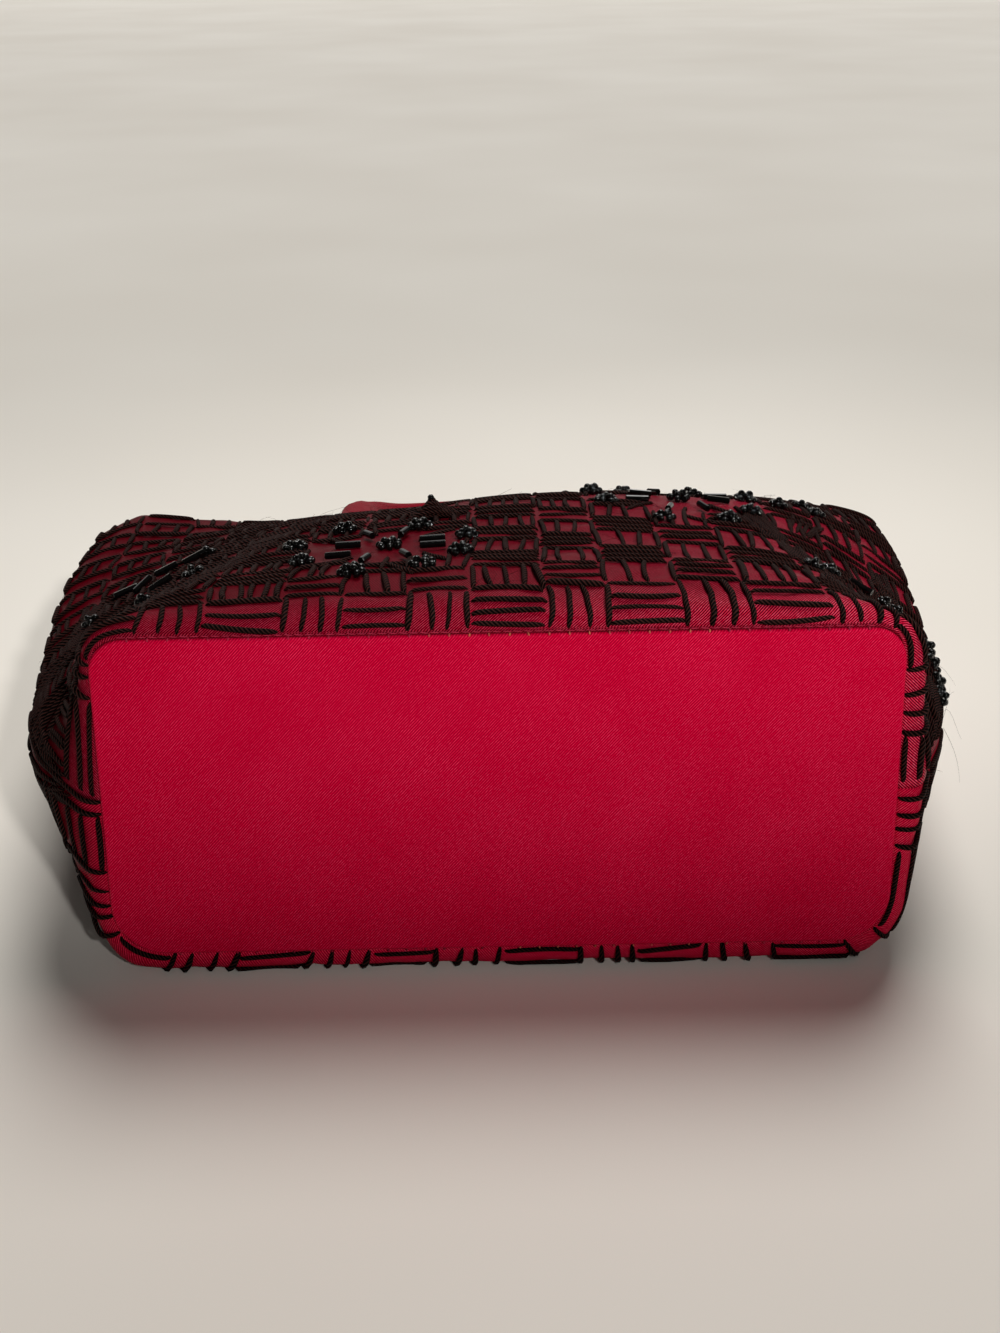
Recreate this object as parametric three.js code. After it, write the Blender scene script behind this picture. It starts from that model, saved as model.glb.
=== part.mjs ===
// A small evening satchel lying on its back panel, in millimetres, with +Z up.
// X runs across the bag, and +Y runs from its stiff base to its open mouth.
// Two cloth panels, front and back, are sewn to each other at the side seams and to the base all round.
import * as THREE from "three";
import { mergeVertices } from "three/addons/utils/BufferGeometryUtils.js";

// The stiff base, a plate with round corners that leans back from the floor
const BASE_LENGTH = 190;
const BASE_DEPTH = 80;
const BASE_TOP_CORNER = 8;
const BASE_FLOOR_CORNER = 13;
const BASE_THICK = 2.6;
const BASE_PROUD = 0.8;
const BASE_LEAN = 10;
const BASE_CLEAR = 6;

// The cloth, and the room that sewn pieces keep between them
const CLOTH = 1.6;
const GAP = 0.3;
const WELT = CLOTH + GAP;
const BASE_HALF = BASE_LENGTH / 2 + WELT;

// How finely a panel is divided across, from seam to seam, and the share by a seam where folds fade out
const PANEL_COLUMNS = 52;
const SEAM_FADE = 0.05;

// The rolled handle: a soft tube whose ends are pressed flat and sewn inside the front panel's edge
const HANDLE_HALF_SPAN = 45;
const HANDLE_TUBE = { wide: 12, tall: 10 };
const HANDLE_TAB = { wide: 16, tall: 3, length: 17 };
const HANDLE_DROP_Y = 133;
const HANDLE_STEPS = 44;
const HANDLE_SIDES = 12;

// One row for each section of the bag, from the base to the mouth.
// along: distance from the base on the floor; lean: how far the section tips back, in degrees;
// floor: height of its lowest edge; floorHalf: half the width of that edge;
// seamLeft, seamRight: the side seams, with seamLeftUp and seamRightUp their heights;
// ridgeLeft, ridgeRight: the front's edges, with ridgeLeftUp and ridgeRightUp their heights;
// crown: how far the front swells between its ridges;
// ridgeRound, seamRound, floorRound: length of the corners' roundings; strips: strips of facets to the next row.
const SECTIONS = [
  {
    along: 0, lean: BASE_LEAN, floor: BASE_CLEAR - WELT, floorHalf: BASE_HALF,
    seamLeft: BASE_HALF, seamLeftUp: BASE_DEPTH / 2 + WELT,
    seamRight: BASE_HALF, seamRightUp: BASE_DEPTH / 2 + WELT,
    ridgeLeft: BASE_HALF, ridgeLeftUp: BASE_DEPTH + 2 * WELT,
    ridgeRight: BASE_HALF, ridgeRightUp: BASE_DEPTH + 2 * WELT,
    crown: 0, ridgeRound: BASE_TOP_CORNER + WELT, seamRound: 8, floorRound: BASE_FLOOR_CORNER + WELT, strips: 1,
  },
  {
    along: 1.8, lean: 10, floor: 0.2, floorHalf: 97.6,
    seamLeft: 99, seamLeftUp: 46, seamRight: 98.6, seamRightUp: 45,
    ridgeLeft: 97, ridgeLeftUp: 87.4, ridgeRight: 97, ridgeRightUp: 87.4,
    crown: 0.3, ridgeRound: 10, seamRound: 8, floorRound: 15, strips: 2,
  },
  {
    along: 11, lean: 10.5, floor: 0, floorHalf: 100,
    seamLeft: 113, seamLeftUp: 49, seamRight: 106.5, seamRightUp: 46.5,
    ridgeLeft: 91, ridgeLeftUp: 90.6, ridgeRight: 92, ridgeRightUp: 91,
    crown: 2.6, ridgeRound: 22, seamRound: 7, floorRound: 17, strips: 2,
  },
  {
    along: 40, lean: 8, floor: 0, floorHalf: 88,
    seamLeft: 120.5, seamLeftUp: 50.5, seamRight: 117, seamRightUp: 46.5,
    ridgeLeft: 80, ridgeLeftUp: 86.5, ridgeRight: 84, ridgeRightUp: 87,
    crown: 3, ridgeRound: 24, seamRound: 10, floorRound: 30, strips: 3,
  },
  {
    along: 80, lean: 6, floor: 0, floorHalf: 72,
    seamLeft: 126, seamLeftUp: 52, seamRight: 122.5, seamRightUp: 47,
    ridgeLeft: 67, ridgeLeftUp: 81, ridgeRight: 78, ridgeRightUp: 83,
    crown: 3, ridgeRound: 28, seamRound: 12, floorRound: 36, strips: 3,
  },
  {
    along: 116, lean: 3, floor: 0, floorHalf: 64,
    seamLeft: 129, seamLeftUp: 52.5, seamRight: 126, seamRightUp: 48,
    ridgeLeft: 56, ridgeLeftUp: 73.5, ridgeRight: 88, ridgeRightUp: 78,
    crown: 3.2, ridgeRound: 32, seamRound: 16, floorRound: 40, strips: 3,
  },
  {
    along: 163, lean: 0, floor: 0, floorHalf: 58,
    seamLeft: 129, seamLeftUp: 51, seamRight: 129, seamRightUp: 48,
    ridgeLeft: 56, ridgeLeftUp: 54.5, ridgeRight: 99, ridgeRightUp: 60.5,
    crown: 1, ridgeRound: 34, seamRound: 22, floorRound: 40, strips: 0,
  },
];
const COLUMNS = Object.keys(SECTIONS[0]).filter((name) => name !== "along" && name !== "strips");

// One row for each dent or swell of a panel. along and across give its middle, across as a share from the
// left seam to the right one; long and wide are its half lengths, across as a share; out is its height.
const FOLDS = {
  front: [
    { name: "pucker above the left seam", along: 16, across: 0.07, long: 9, wide: 0.035, out: -2.2 },
    { name: "hollow beside the left ridge", along: 105, across: 0.2, long: 40, wide: 0.06, out: -2 },
    { name: "swell of the left rim", along: 163, across: 0.07, long: 26, wide: 0.03, out: 4 },
    { name: "dip of the left rim", along: 163, across: 0.14, long: 24, wide: 0.05, out: -1.5 },
  ],
  back: [
    { name: "pucker below the left seam", along: 20, across: 0.06, long: 8, wide: 0.03, out: -1.6 },
  ],
};

// The value of every column between the rows of the table
const sectionCurve = new THREE.CubicInterpolant(
  SECTIONS.map((row) => row.along),
  SECTIONS.flatMap((row) => COLUMNS.map((name) => row[name])),
  COLUMNS.length,
);

function sectionAt(along) {
  const values = sectionCurve.evaluate(along);
  const section = { along };
  COLUMNS.forEach((name, i) => {
    section[name] = values[i];
  });
  section.floor = Math.max(section.floor, 0);
  return section;
}

// Where the sections are taken: each row's place and the strips up to the next row
function stations() {
  const places = [];
  SECTIONS.forEach((row, i) => {
    const next = SECTIONS[i + 1];
    if (!next) {
      places.push(row.along);
      return;
    }
    for (let k = 0; k < row.strips; k++) {
      places.push(row.along + ((next.along - row.along) * k) / row.strips);
    }
  });
  return places;
}

// A point of a section's own plane, given by its offset across and its height, set in the bag's frame
function inBag(section, point) {
  const lean = THREE.MathUtils.degToRad(section.lean);
  return new THREE.Vector3(
    point.x,
    section.along + point.y * Math.sin(lean),
    section.floor + point.y * Math.cos(lean),
  );
}

// A point at a given distance from a corner towards the next one, at most halfway
function towards(corner, next, distance) {
  const length = corner.distanceTo(next);
  return corner.clone().lerp(next, Math.min(distance / length, 0.5));
}

// The sharp corner whose rounding passes through a seam, between the corners above and below it
function seamCorner(seam, above, below, rounding) {
  const pull = towards(seam, above, rounding).add(towards(seam, below, rounding)).addScaledVector(seam, -2);
  return seam.clone().addScaledVector(pull, -0.25);
}

// Half of a section from the left seam to the right one, over two corners that are rounded.
// Each seam lies in the middle of its own rounded corner, which the two halves share.
function halfSection(section, own, other, rounding, swell) {
  const round = section.seamRound;
  const seamLeft = new THREE.Vector2(-section.seamLeft, section.seamLeftUp);
  const seamRight = new THREE.Vector2(section.seamRight, section.seamRightUp);
  const cornerLeft = seamCorner(seamLeft, own[0], other[0], round);
  const cornerRight = seamCorner(seamRight, own[1], other[1], round);
  const leaveSeam = towards(cornerLeft, own[0], round);
  const reachSeam = towards(cornerRight, own[1], round);
  const start = leaveSeam.clone().lerp(cornerLeft, 0.5).lerp(
    towards(cornerLeft, other[0], round).lerp(cornerLeft, 0.5), 0.5);
  const end = reachSeam.clone().lerp(cornerRight, 0.5).lerp(
    towards(cornerRight, other[1], round).lerp(cornerRight, 0.5), 0.5);
  const afterLeft = towards(own[0], own[1], rounding);
  const beforeRight = towards(own[1], own[0], rounding);
  const top = afterLeft.clone().lerp(beforeRight, 0.5).add(new THREE.Vector2(0, 2 * swell));

  const path = new THREE.Path();
  const curveTo = (control, point) => path.quadraticCurveTo(control.x, control.y, point.x, point.y);
  const lineTo = (point) => path.lineTo(point.x, point.y);
  path.moveTo(start.x, start.y);
  curveTo(leaveSeam.clone().lerp(cornerLeft, 0.5), leaveSeam);
  lineTo(towards(own[0], cornerLeft, rounding));
  curveTo(own[0], afterLeft);
  curveTo(top, beforeRight);
  curveTo(own[1], towards(own[1], cornerRight, rounding));
  lineTo(reachSeam);
  curveTo(reachSeam.clone().lerp(cornerRight, 0.5), end);
  return path;
}

function panelPath(section, side) {
  const ridges = [
    new THREE.Vector2(-section.ridgeLeft, section.ridgeLeftUp),
    new THREE.Vector2(section.ridgeRight, section.ridgeRightUp),
  ];
  const floors = [new THREE.Vector2(-section.floorHalf, 0), new THREE.Vector2(section.floorHalf, 0)];
  if (side === "front") {
    return halfSection(section, ridges, floors, section.ridgeRound, section.crown);
  }
  return halfSection(section, floors, ridges, section.floorRound, 0);
}

// How far the folds of a panel push a point out of its smooth shape, fading out at the seams
function foldOut(side, along, across) {
  const fade = THREE.MathUtils.smoothstep(Math.min(across, 1 - across), 0, SEAM_FADE);
  return FOLDS[side].reduce((sum, fold) => {
    const a = (along - fold.along) / fold.long;
    const b = (across - fold.across) / fold.wide;
    return sum + fade * fold.out * Math.exp(-a * a - b * b);
  }, 0);
}

// The outer and inner points of one panel at one station, from the left seam to the right one
function panelRow(along, side) {
  const section = sectionAt(along);
  const path = panelPath(section, side);
  const trim = GAP / 2 / path.getLength();
  const turn = side === "front" ? 1 : -1;
  const outer = [];
  const inner = [];
  for (let i = 0; i <= PANEL_COLUMNS; i++) {
    const across = THREE.MathUtils.lerp(trim, 1 - trim, i / PANEL_COLUMNS);
    const tangent = path.getTangent(across);
    const out = new THREE.Vector2(-tangent.y, tangent.x).multiplyScalar(turn);
    const point = path.getPoint(across).addScaledVector(out, foldOut(side, along, across));
    outer.push(inBag(section, point));
    inner.push(inBag(section, point.clone().addScaledVector(out, -CLOTH)));
  }
  return { outer, inner };
}

// A closed solid from rings of points that all have the same count, with flat ends
function ringsGeometry(rings) {
  const count = rings[0].length;
  const last = (rings.length - 1) * count;
  const indices = [];
  for (let r = 0; r < rings.length - 1; r++) {
    for (let i = 0; i < count; i++) {
      const a = r * count + i;
      const b = r * count + ((i + 1) % count);
      indices.push(a, b, b + count, a, b + count, a + count);
    }
  }
  const positions = rings.flat().flatMap((point) => point.toArray());
  const geometry = new THREE.BufferGeometry();
  geometry.setAttribute("position", new THREE.Float32BufferAttribute(positions, 3));
  return { geometry, indices, count, last };
}

// One cloth panel: at every station a thin loop runs along its outer face and back along its inner one
function panelGeometry(side) {
  const rings = stations().map((along) => {
    const { outer, inner } = panelRow(along, side);
    return side === "front" ? [...outer, ...inner.reverse()] : [...inner, ...outer.reverse()];
  });
  const { geometry, indices, count, last } = ringsGeometry(rings);
  for (let i = 0; i < PANEL_COLUMNS; i++) {
    const a = i;
    const b = i + 1;
    const c = count - 2 - i;
    const d = count - 1 - i;
    indices.push(a, c, b, a, d, c);
    indices.push(last + a, last + b, last + c, last + a, last + c, last + d);
  }
  geometry.setIndex(indices);
  geometry.computeVertexNormals();
  return geometry;
}

// The base plate, lying in the leaning plane of the first section with its outer face proud of the cloth
function baseGeometry() {
  const x = BASE_LENGTH / 2;
  const low = BASE_FLOOR_CORNER;
  const high = BASE_TOP_CORNER;
  const outline = new THREE.Shape();
  outline.moveTo(-x + low, 0);
  outline.lineTo(x - low, 0);
  outline.absarc(x - low, low, low, -Math.PI / 2, 0);
  outline.lineTo(x, BASE_DEPTH - high);
  outline.absarc(x - high, BASE_DEPTH - high, high, 0, Math.PI / 2);
  outline.lineTo(-x + high, BASE_DEPTH);
  outline.absarc(-x + high, BASE_DEPTH - high, high, Math.PI / 2, Math.PI);
  outline.lineTo(-x, low);
  outline.absarc(-x + low, low, low, Math.PI, 1.5 * Math.PI);
  const plate = new THREE.ExtrudeGeometry(outline, { depth: BASE_THICK, bevelEnabled: false, curveSegments: 6 });
  plate.deleteAttribute("normal");
  plate.deleteAttribute("uv");
  const whole = mergeVertices(plate, 1e-4);
  whole.translate(0, WELT, BASE_PROUD - BASE_THICK);
  return whole;
}

// The front panel's outer face at a station, over a given place across
function frontOver(along, x) {
  const section = sectionAt(along);
  const points = panelPath(section, "front").getSpacedPoints(4 * PANEL_COLUMNS);
  const near = points.reduce((best, point) => (Math.abs(point.x - x) < Math.abs(best.x - x) ? point : best));
  return inBag(section, near);
}

// The height at which a tab's oval lies close under the front panel
function tabHeight(along, middle) {
  const heights = [];
  for (let k = 0; k <= HANDLE_SIDES; k++) {
    const angle = (Math.PI * k) / HANDLE_SIDES;
    const x = middle + (HANDLE_TAB.wide / 2) * Math.cos(angle);
    heights.push(frontOver(along, x).z - WELT - GAP - (HANDLE_TAB.tall / 2) * Math.sin(angle));
  }
  return Math.min(...heights);
}

// One leg of the handle's middle line, from its tab under the front panel down to the floor behind the mouth
function handleLeg(side) {
  const rim = SECTIONS[SECTIONS.length - 1].along;
  const tabAt = (along) => tabHeight(along, side * HANDLE_HALF_SPAN);
  const points = [
    { x: 1, y: rim - HANDLE_TAB.length, z: tabAt(rim - HANDLE_TAB.length) },
    { x: 1, y: rim, z: tabAt(rim) },
    { x: 1.06, y: rim + 0.35 * HANDLE_DROP_Y, z: 0.74 * tabAt(rim) },
    { x: 1.02, y: rim + 0.7 * HANDLE_DROP_Y, z: 0.4 * tabAt(rim) },
    { x: 0.68, y: rim + 0.94 * HANDLE_DROP_Y, z: 0.74 * HANDLE_TUBE.tall },
  ];
  return points.map((p) => new THREE.Vector3(side * HANDLE_HALF_SPAN * p.x, p.y, p.z));
}

// The handle's whole middle line, down one leg, over its crown on the floor and up the other leg
function handleCurve() {
  const rim = SECTIONS[SECTIONS.length - 1].along;
  const crown = new THREE.Vector3(0, rim + HANDLE_DROP_Y, HANDLE_TUBE.tall / 2 + GAP);
  const points = [...handleLeg(-1), crown, ...handleLeg(1).reverse()];
  return new THREE.CatmullRomCurve3(points, false, "centripetal");
}

// The handle as a tube with an oval section, pressed flat over its two tabs
function handleGeometry() {
  const curve = handleCurve();
  const length = curve.getLength();
  const rings = [];
  for (let s = 0; s <= HANDLE_STEPS; s++) {
    const share = s / HANDLE_STEPS;
    const fromEnd = Math.min(share, 1 - share) * length;
    const round = THREE.MathUtils.smoothstep(fromEnd, HANDLE_TAB.length, 2 * HANDLE_TAB.length);
    const wide = THREE.MathUtils.lerp(HANDLE_TAB.wide, HANDLE_TUBE.wide, round) / 2;
    const tall = THREE.MathUtils.lerp(HANDLE_TAB.tall, HANDLE_TUBE.tall, round) / 2;
    const centre = curve.getPointAt(share);
    const tangent = curve.getTangentAt(share);
    const sideways = new THREE.Vector3(0, 0, 1).cross(tangent).normalize();
    const upward = tangent.clone().cross(sideways).normalize();
    const ring = [];
    for (let k = 0; k < HANDLE_SIDES; k++) {
      const angle = (2 * Math.PI * k) / HANDLE_SIDES;
      ring.push(
        centre.clone()
          .addScaledVector(sideways, wide * Math.cos(angle))
          .addScaledVector(upward, tall * Math.sin(angle)),
      );
    }
    rings.push(ring);
  }
  const { geometry, indices, count, last } = ringsGeometry(rings);
  for (let k = 1; k < count - 1; k++) {
    indices.push(0, k + 1, k);
    indices.push(last, last + k, last + k + 1);
  }
  geometry.setIndex(indices);
  geometry.computeVertexNormals();
  return geometry;
}

const embroidered = new THREE.MeshStandardMaterial({ color: 0x6e0a22, roughness: 0.55, metalness: 0 });
const baseSatin = new THREE.MeshStandardMaterial({ color: 0xa80b2c, roughness: 0.5, metalness: 0 });
const handleSatin = new THREE.MeshStandardMaterial({ color: 0xa0122f, roughness: 0.45, metalness: 0 });

function named(name, geometry, material) {
  const mesh = new THREE.Mesh(geometry, material);
  mesh.name = name;
  return mesh;
}

const satchel = new THREE.Group();
satchel.add(named("front_panel", panelGeometry("front"), embroidered));
satchel.add(named("back_panel", panelGeometry("back"), embroidered));
satchel.add(named("handle", handleGeometry(), handleSatin));

const leaning = new THREE.Group();
leaning.position.set(0, 0, BASE_CLEAR - WELT);
leaning.rotation.x = Math.PI / 2 - THREE.MathUtils.degToRad(BASE_LEAN);
leaning.add(named("base_panel", baseGeometry(), baseSatin));
satchel.add(leaning);

// The origin is the middle of the box's underside
const box = new THREE.Box3().setFromObject(satchel);
const middle = box.getCenter(new THREE.Vector3());
satchel.position.set(-middle.x, -middle.y, -box.min.z);

export default satchel;
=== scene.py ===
# %% [markdown]
# # A beaded evening satchel
# The bag is red satin, worked all over with black thread and black beads, and it lies on its back panel.
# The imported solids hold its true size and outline. This lesson dresses them: cloth with a weave, more than a
# thousand twisted stitches, beads, a rolled seam and topstitching, each lying on the surface of the solids.

# %% Load the frame
import math

import bpy
import numpy as np
from mathutils import Matrix, Vector
from mathutils.bvhtree import BVHTree


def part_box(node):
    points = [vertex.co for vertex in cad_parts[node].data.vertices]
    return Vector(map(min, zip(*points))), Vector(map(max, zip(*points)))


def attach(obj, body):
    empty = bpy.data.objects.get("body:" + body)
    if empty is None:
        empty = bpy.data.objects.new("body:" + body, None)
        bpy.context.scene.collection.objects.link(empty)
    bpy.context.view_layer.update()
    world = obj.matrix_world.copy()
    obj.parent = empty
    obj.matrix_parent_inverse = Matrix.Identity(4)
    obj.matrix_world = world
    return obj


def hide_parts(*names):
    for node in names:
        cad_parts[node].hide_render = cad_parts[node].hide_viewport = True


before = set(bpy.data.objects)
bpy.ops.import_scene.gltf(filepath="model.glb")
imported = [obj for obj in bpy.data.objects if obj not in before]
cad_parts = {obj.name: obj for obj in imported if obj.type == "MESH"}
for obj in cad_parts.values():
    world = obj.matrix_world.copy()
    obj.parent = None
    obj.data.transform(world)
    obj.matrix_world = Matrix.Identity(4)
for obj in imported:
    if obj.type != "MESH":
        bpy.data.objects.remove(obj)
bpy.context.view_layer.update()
bpy.ops.object.select_all(action="DESELECT")
MM = 0.001
rng = np.random.default_rng(7)
print("nodes:", sorted(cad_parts))

# %% [markdown]
# ## The shape of the cloth
# Everything on the bag follows the two cloth panels, so their shape is read once from the solids.
# Planes that lean back like the base cut the bag from the base to the mouth. In each plane, rays shot
# inwards from all round find the outer face, and they say which panel it belongs to.

# %% Gather the panels and measure the base
BASE_LEAN = math.radians(10)
BASE_PROUD = 0.8 * MM


def node_points(name):
    """The places of a node's vertices, as an array."""
    return np.array([vertex.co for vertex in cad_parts[name].data.vertices])


def node_triangles(name):
    """The triangles of a node, as lists of vertex numbers."""
    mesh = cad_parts[name].data
    mesh.calc_loop_triangles()
    return [list(triangle.vertices) for triangle in mesh.loop_triangles]


def unit(vectors):
    """Vectors of length one."""
    return vectors / np.linalg.norm(vectors, axis=-1, keepdims=True)


front_points = node_points("front_panel")
front_triangles = node_triangles("front_panel")
back_triangles = [[i + len(front_points) for i in triangle] for triangle in node_triangles("back_panel")]
both_points = np.vstack([front_points, node_points("back_panel")])
cloth_tree = BVHTree.FromPolygons(both_points.tolist(), front_triangles + back_triangles)

base_up = np.array([0, math.sin(BASE_LEAN), math.cos(BASE_LEAN)])
base_out = np.array([0, -math.cos(BASE_LEAN), math.sin(BASE_LEAN)])
base_points = node_points("base_panel")
base_face = (base_points @ base_out).max()
base_middle = (base_points[:, 0].min() + base_points[:, 0].max()) / 2
foot_of_base = -(base_face - BASE_PROUD) / math.cos(BASE_LEAN)
foot_of_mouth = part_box("front_panel")[1].y
print("the cloth runs from y", round(foot_of_base, 4), "at the base to y", round(foot_of_mouth, 4))

# %% Cut the bag into slices
ROWS = 150
RAYS = 720
RAY_START = 0.4
RAY_OVAL = (130, 46)
SPINE_HEIGHT = 46 * MM
FIRST_CUT = 0.001
LAST_CUT = 0.999


def cut(share):
    """The outer face in one leaning plane, split into the front half and the back half."""
    lean = BASE_LEAN * (1 - share)
    up = np.array([0, math.sin(lean), math.cos(lean)])
    foot = np.array([base_middle, foot_of_base + (foot_of_mouth - foot_of_base) * share, 0])
    middle = foot + up * SPINE_HEIGHT
    halves = {"front": [], "back": []}
    for angle in np.linspace(0, 2 * math.pi, RAYS, endpoint=False):
        way = np.array([RAY_OVAL[0] * math.cos(angle), 0, 0]) + up * RAY_OVAL[1] * math.sin(angle)
        way /= np.linalg.norm(way)
        place, _, triangle, _ = cloth_tree.ray_cast(Vector(middle + way * RAY_START), Vector(-way))
        if place is not None and (np.array(place) - middle) @ way > 0:
            side = "front" if triangle < len(front_triangles) else "back"
            from_right = angle if side == "front" else -angle
            order = (math.pi - from_right + math.pi / 2) % (2 * math.pi)
            halves[side].append((order, np.array(place)))
    front, back = ([place for _, place in sorted(halves[side], key=lambda item: item[0])]
                   for side in ("front", "back"))
    left = (front[0] + back[0]) / 2
    right = (front[-1] + back[-1]) / 2
    return [np.array([left, *half, right]) for half in (front, back)]


cuts = [cut(share) for share in np.linspace(FIRST_CUT, LAST_CUT, ROWS + 1)]
print(len(cuts), "cuts with", len(cuts[0][0]), "places on the front beside the base")

# %% [markdown]
# ## From slices to cloth
# Each half of a slice is divided evenly from the left seam to the right one and smoothed, because cloth
# has no facets. Beside the base the seam pulls the cloth in, and it puffs up into a round shoulder, which
# is fullest high on the right. A cloth simulation could find such a shoulder, but a formula is steadier.
# The result is a grid of places for each panel, which later cells look up by their flat place.

# %% Smooth the slices into two surfaces
COLUMNS = 240
SPREAD_ACROSS = 2
SPREAD_AT_BASE = 1
SPREAD_ABOVE = 5
CRISP_ROWS = 4
BLEND_ROWS = 16
RESTS_ON_STITCHES = 0.9 * MM
SHOULDER = 14 * MM
PUFF = 1.3 * MM
PUFF_EARLY = 0.55
RISE_FORWARDS = 0.5
FULLER_RIGHT = 1.1
FULL_HEIGHT = 42 * MM
LEANER_BELOW = 0.8
PULL = 0.9 * MM
PULL_ELSEWHERE = 2.1 * MM
PULL_REACH = 4 * MM


def evenly(line, count):
    """A line of points divided into equal lengths."""
    steps = np.linalg.norm(np.diff(line, axis=0), axis=1)
    along = np.concatenate([[0], np.cumsum(steps)])
    wanted = np.linspace(0, along[-1], count + 1)
    return np.stack([np.interp(wanted, along, line[:, k]) for k in range(3)], axis=1)


def smoothed(grid, spread, axis):
    """A grid of places with its facets evened out along one axis, its edges kept."""
    reach = int(3 * spread)
    weights = np.exp(-0.5 * (np.arange(-reach, reach + 1) / spread) ** 2)
    weights /= weights.sum()
    rows = np.moveaxis(grid, axis, 0)
    before = 2 * rows[0] - rows[reach:0:-1]
    after = 2 * rows[-1] - rows[-2:-reach - 2:-1]
    longer = np.concatenate([before, rows, after])
    evened = sum(weight * longer[k:k + len(rows)] for k, weight in enumerate(weights))
    return np.moveaxis(evened, 0, axis)


def ways_out(side, grid):
    """The directions that point out of a panel, at the places of its grid."""
    normal = unit(np.cross(np.gradient(grid, axis=1), np.gradient(grid, axis=0)))
    return normal if side == "front" else -normal


def shouldered(side, grid):
    """The grid pulled in at the base seam and puffed up beside it."""
    out = ways_out(side, grid)
    away = unit(out - (out @ base_out)[..., None] * base_out)
    rise = unit(out + RISE_FORWARDS * base_out)
    steps = np.linalg.norm(np.diff(grid, axis=0), axis=2).mean(1)
    far = np.concatenate([[0], np.cumsum(steps)])
    puff = PUFF * np.sin(math.pi * np.clip(far / SHOULDER, 0, 1) ** PUFF_EARLY) ** 2
    above = np.clip(away @ base_up, 0, 1)[..., None]
    pull = PULL_ELSEWHERE + (PULL - PULL_ELSEWHERE) * above
    reach = np.clip(1 - far / PULL_REACH, 0, 1)[:, None, None] ** 2
    height = np.clip(grid[..., 2:] / FULL_HEIGHT, 0, 1)
    to_right = np.clip(away[..., :1], 0, 1)
    fuller = 1 + FULLER_RIGHT * to_right * ((1 + LEANER_BELOW) * height - LEANER_BELOW)
    return grid + rise * puff[:, None, None] * fuller - away * pull * reach


surfaces = {}
for number, side in enumerate(("front", "back")):
    raw = np.array([evenly(halves[number], COLUMNS) for halves in cuts])
    across = smoothed(raw, SPREAD_ACROSS, 1)
    at_base = smoothed(across, SPREAD_AT_BASE, 0)
    above = smoothed(across, SPREAD_ABOVE, 0)
    share = np.clip((np.arange(ROWS + 1) - CRISP_ROWS) / BLEND_ROWS, 0, 1)[:, None, None]
    grid = shouldered(side, at_base + (above - at_base) * share)
    grid[..., 2] = np.maximum(grid[..., 2], RESTS_ON_STITCHES)
    grid = np.stack([evenly(grid[:, c], ROWS) for c in range(COLUMNS + 1)], axis=1)
    surfaces[side] = grid
    print(side, "panel from", grid.min((0, 1)).round(4), "to", grid.max((0, 1)).round(4))

# %% [markdown]
# ## Flat places
# A maker marks embroidery on the flat cloth before the bag is sewn. The lesson does the same: a place is
# given as u, across from the middle, and v, up from the base seam, both as on the flat cloth.
# on_panel turns such places into points of the bag and the directions that point out of the cloth there.

# %% Look up flat places on a panel
def mean_length(grid, axis):
    """How long the grid's lines are along one axis, on average."""
    return np.linalg.norm(np.diff(grid, axis=axis), axis=2).sum(axis=axis).mean()


flat_width = {side: mean_length(grid, 1) for side, grid in surfaces.items()}
flat_height = {side: mean_length(grid, 0) for side, grid in surfaces.items()}
outwards = {side: ways_out(side, grid) for side, grid in surfaces.items()}


def looked_up(grid, row, column):
    """Values of a grid between its points."""
    r = np.clip(row.astype(int), 0, ROWS - 1)
    c = np.clip(column.astype(int), 0, COLUMNS - 1)
    a = (row - r)[..., None]
    b = (column - c)[..., None]
    near = grid[r, c] * (1 - b) + grid[r, c + 1] * b
    far = grid[r + 1, c] * (1 - b) + grid[r + 1, c + 1] * b
    return near * (1 - a) + far * a


def on_panel(side, u, v):
    """Points of a panel and the ways out of it, for arrays of flat places."""
    column = np.clip(np.asarray(u) / flat_width[side] + 0.5, 0, 1) * COLUMNS
    row = np.clip(np.asarray(v) / flat_height[side], 0, 1) * ROWS
    return looked_up(surfaces[side], row, column), unit(looked_up(outwards[side], row, column))


for side in surfaces:
    print(side, "is cut", round(flat_width[side], 4), "wide and", round(flat_height[side], 4), "high")

# %% [markdown]
# ## Finishes
# Each finish is a small tree of shader nodes. Pictures of cloth and thread would do as well from afar, but
# nodes stay sharp from close by. Functions build the trees, so a finish is one row of colours and sizes.
# Colours are written as they look on a screen, from 0 to 255, and linear turns them into what a shader takes.

# %% Start a finish
def linear(red, green, blue):
    """A screen colour of 0 to 255 as the linear colour that a shader takes."""
    shares = [part / 255 for part in (red, green, blue)]
    return [s / 12.92 if s <= 0.04045 else ((s + 0.055) / 1.055) ** 2.4 for s in shares] + [1]


def start_finish(name, roughness, specular):
    """A new material, its node tree and its shader."""
    material = bpy.data.materials.new(name)
    material.use_nodes = True
    tree = material.node_tree
    shader = tree.nodes["Principled BSDF"]
    shader.inputs["Roughness"].default_value = roughness
    shader.inputs["Specular IOR Level"].default_value = specular
    return material, tree, shader


def add_node(tree, kind, result, settings=None, **inputs):
    """The named output of a new node, whose inputs are given values or the outputs of other nodes."""
    node = tree.nodes.new("ShaderNode" + kind)
    for setting, value in (settings or {}).items():
        setattr(node, setting, value)
    for name, given in inputs.items():
        socket = node.inputs[name.replace("_", " ")]
        if isinstance(given, bpy.types.NodeSocket):
            tree.links.new(given, socket)
        else:
            socket.default_value = given
    return node.outputs[result]


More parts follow.
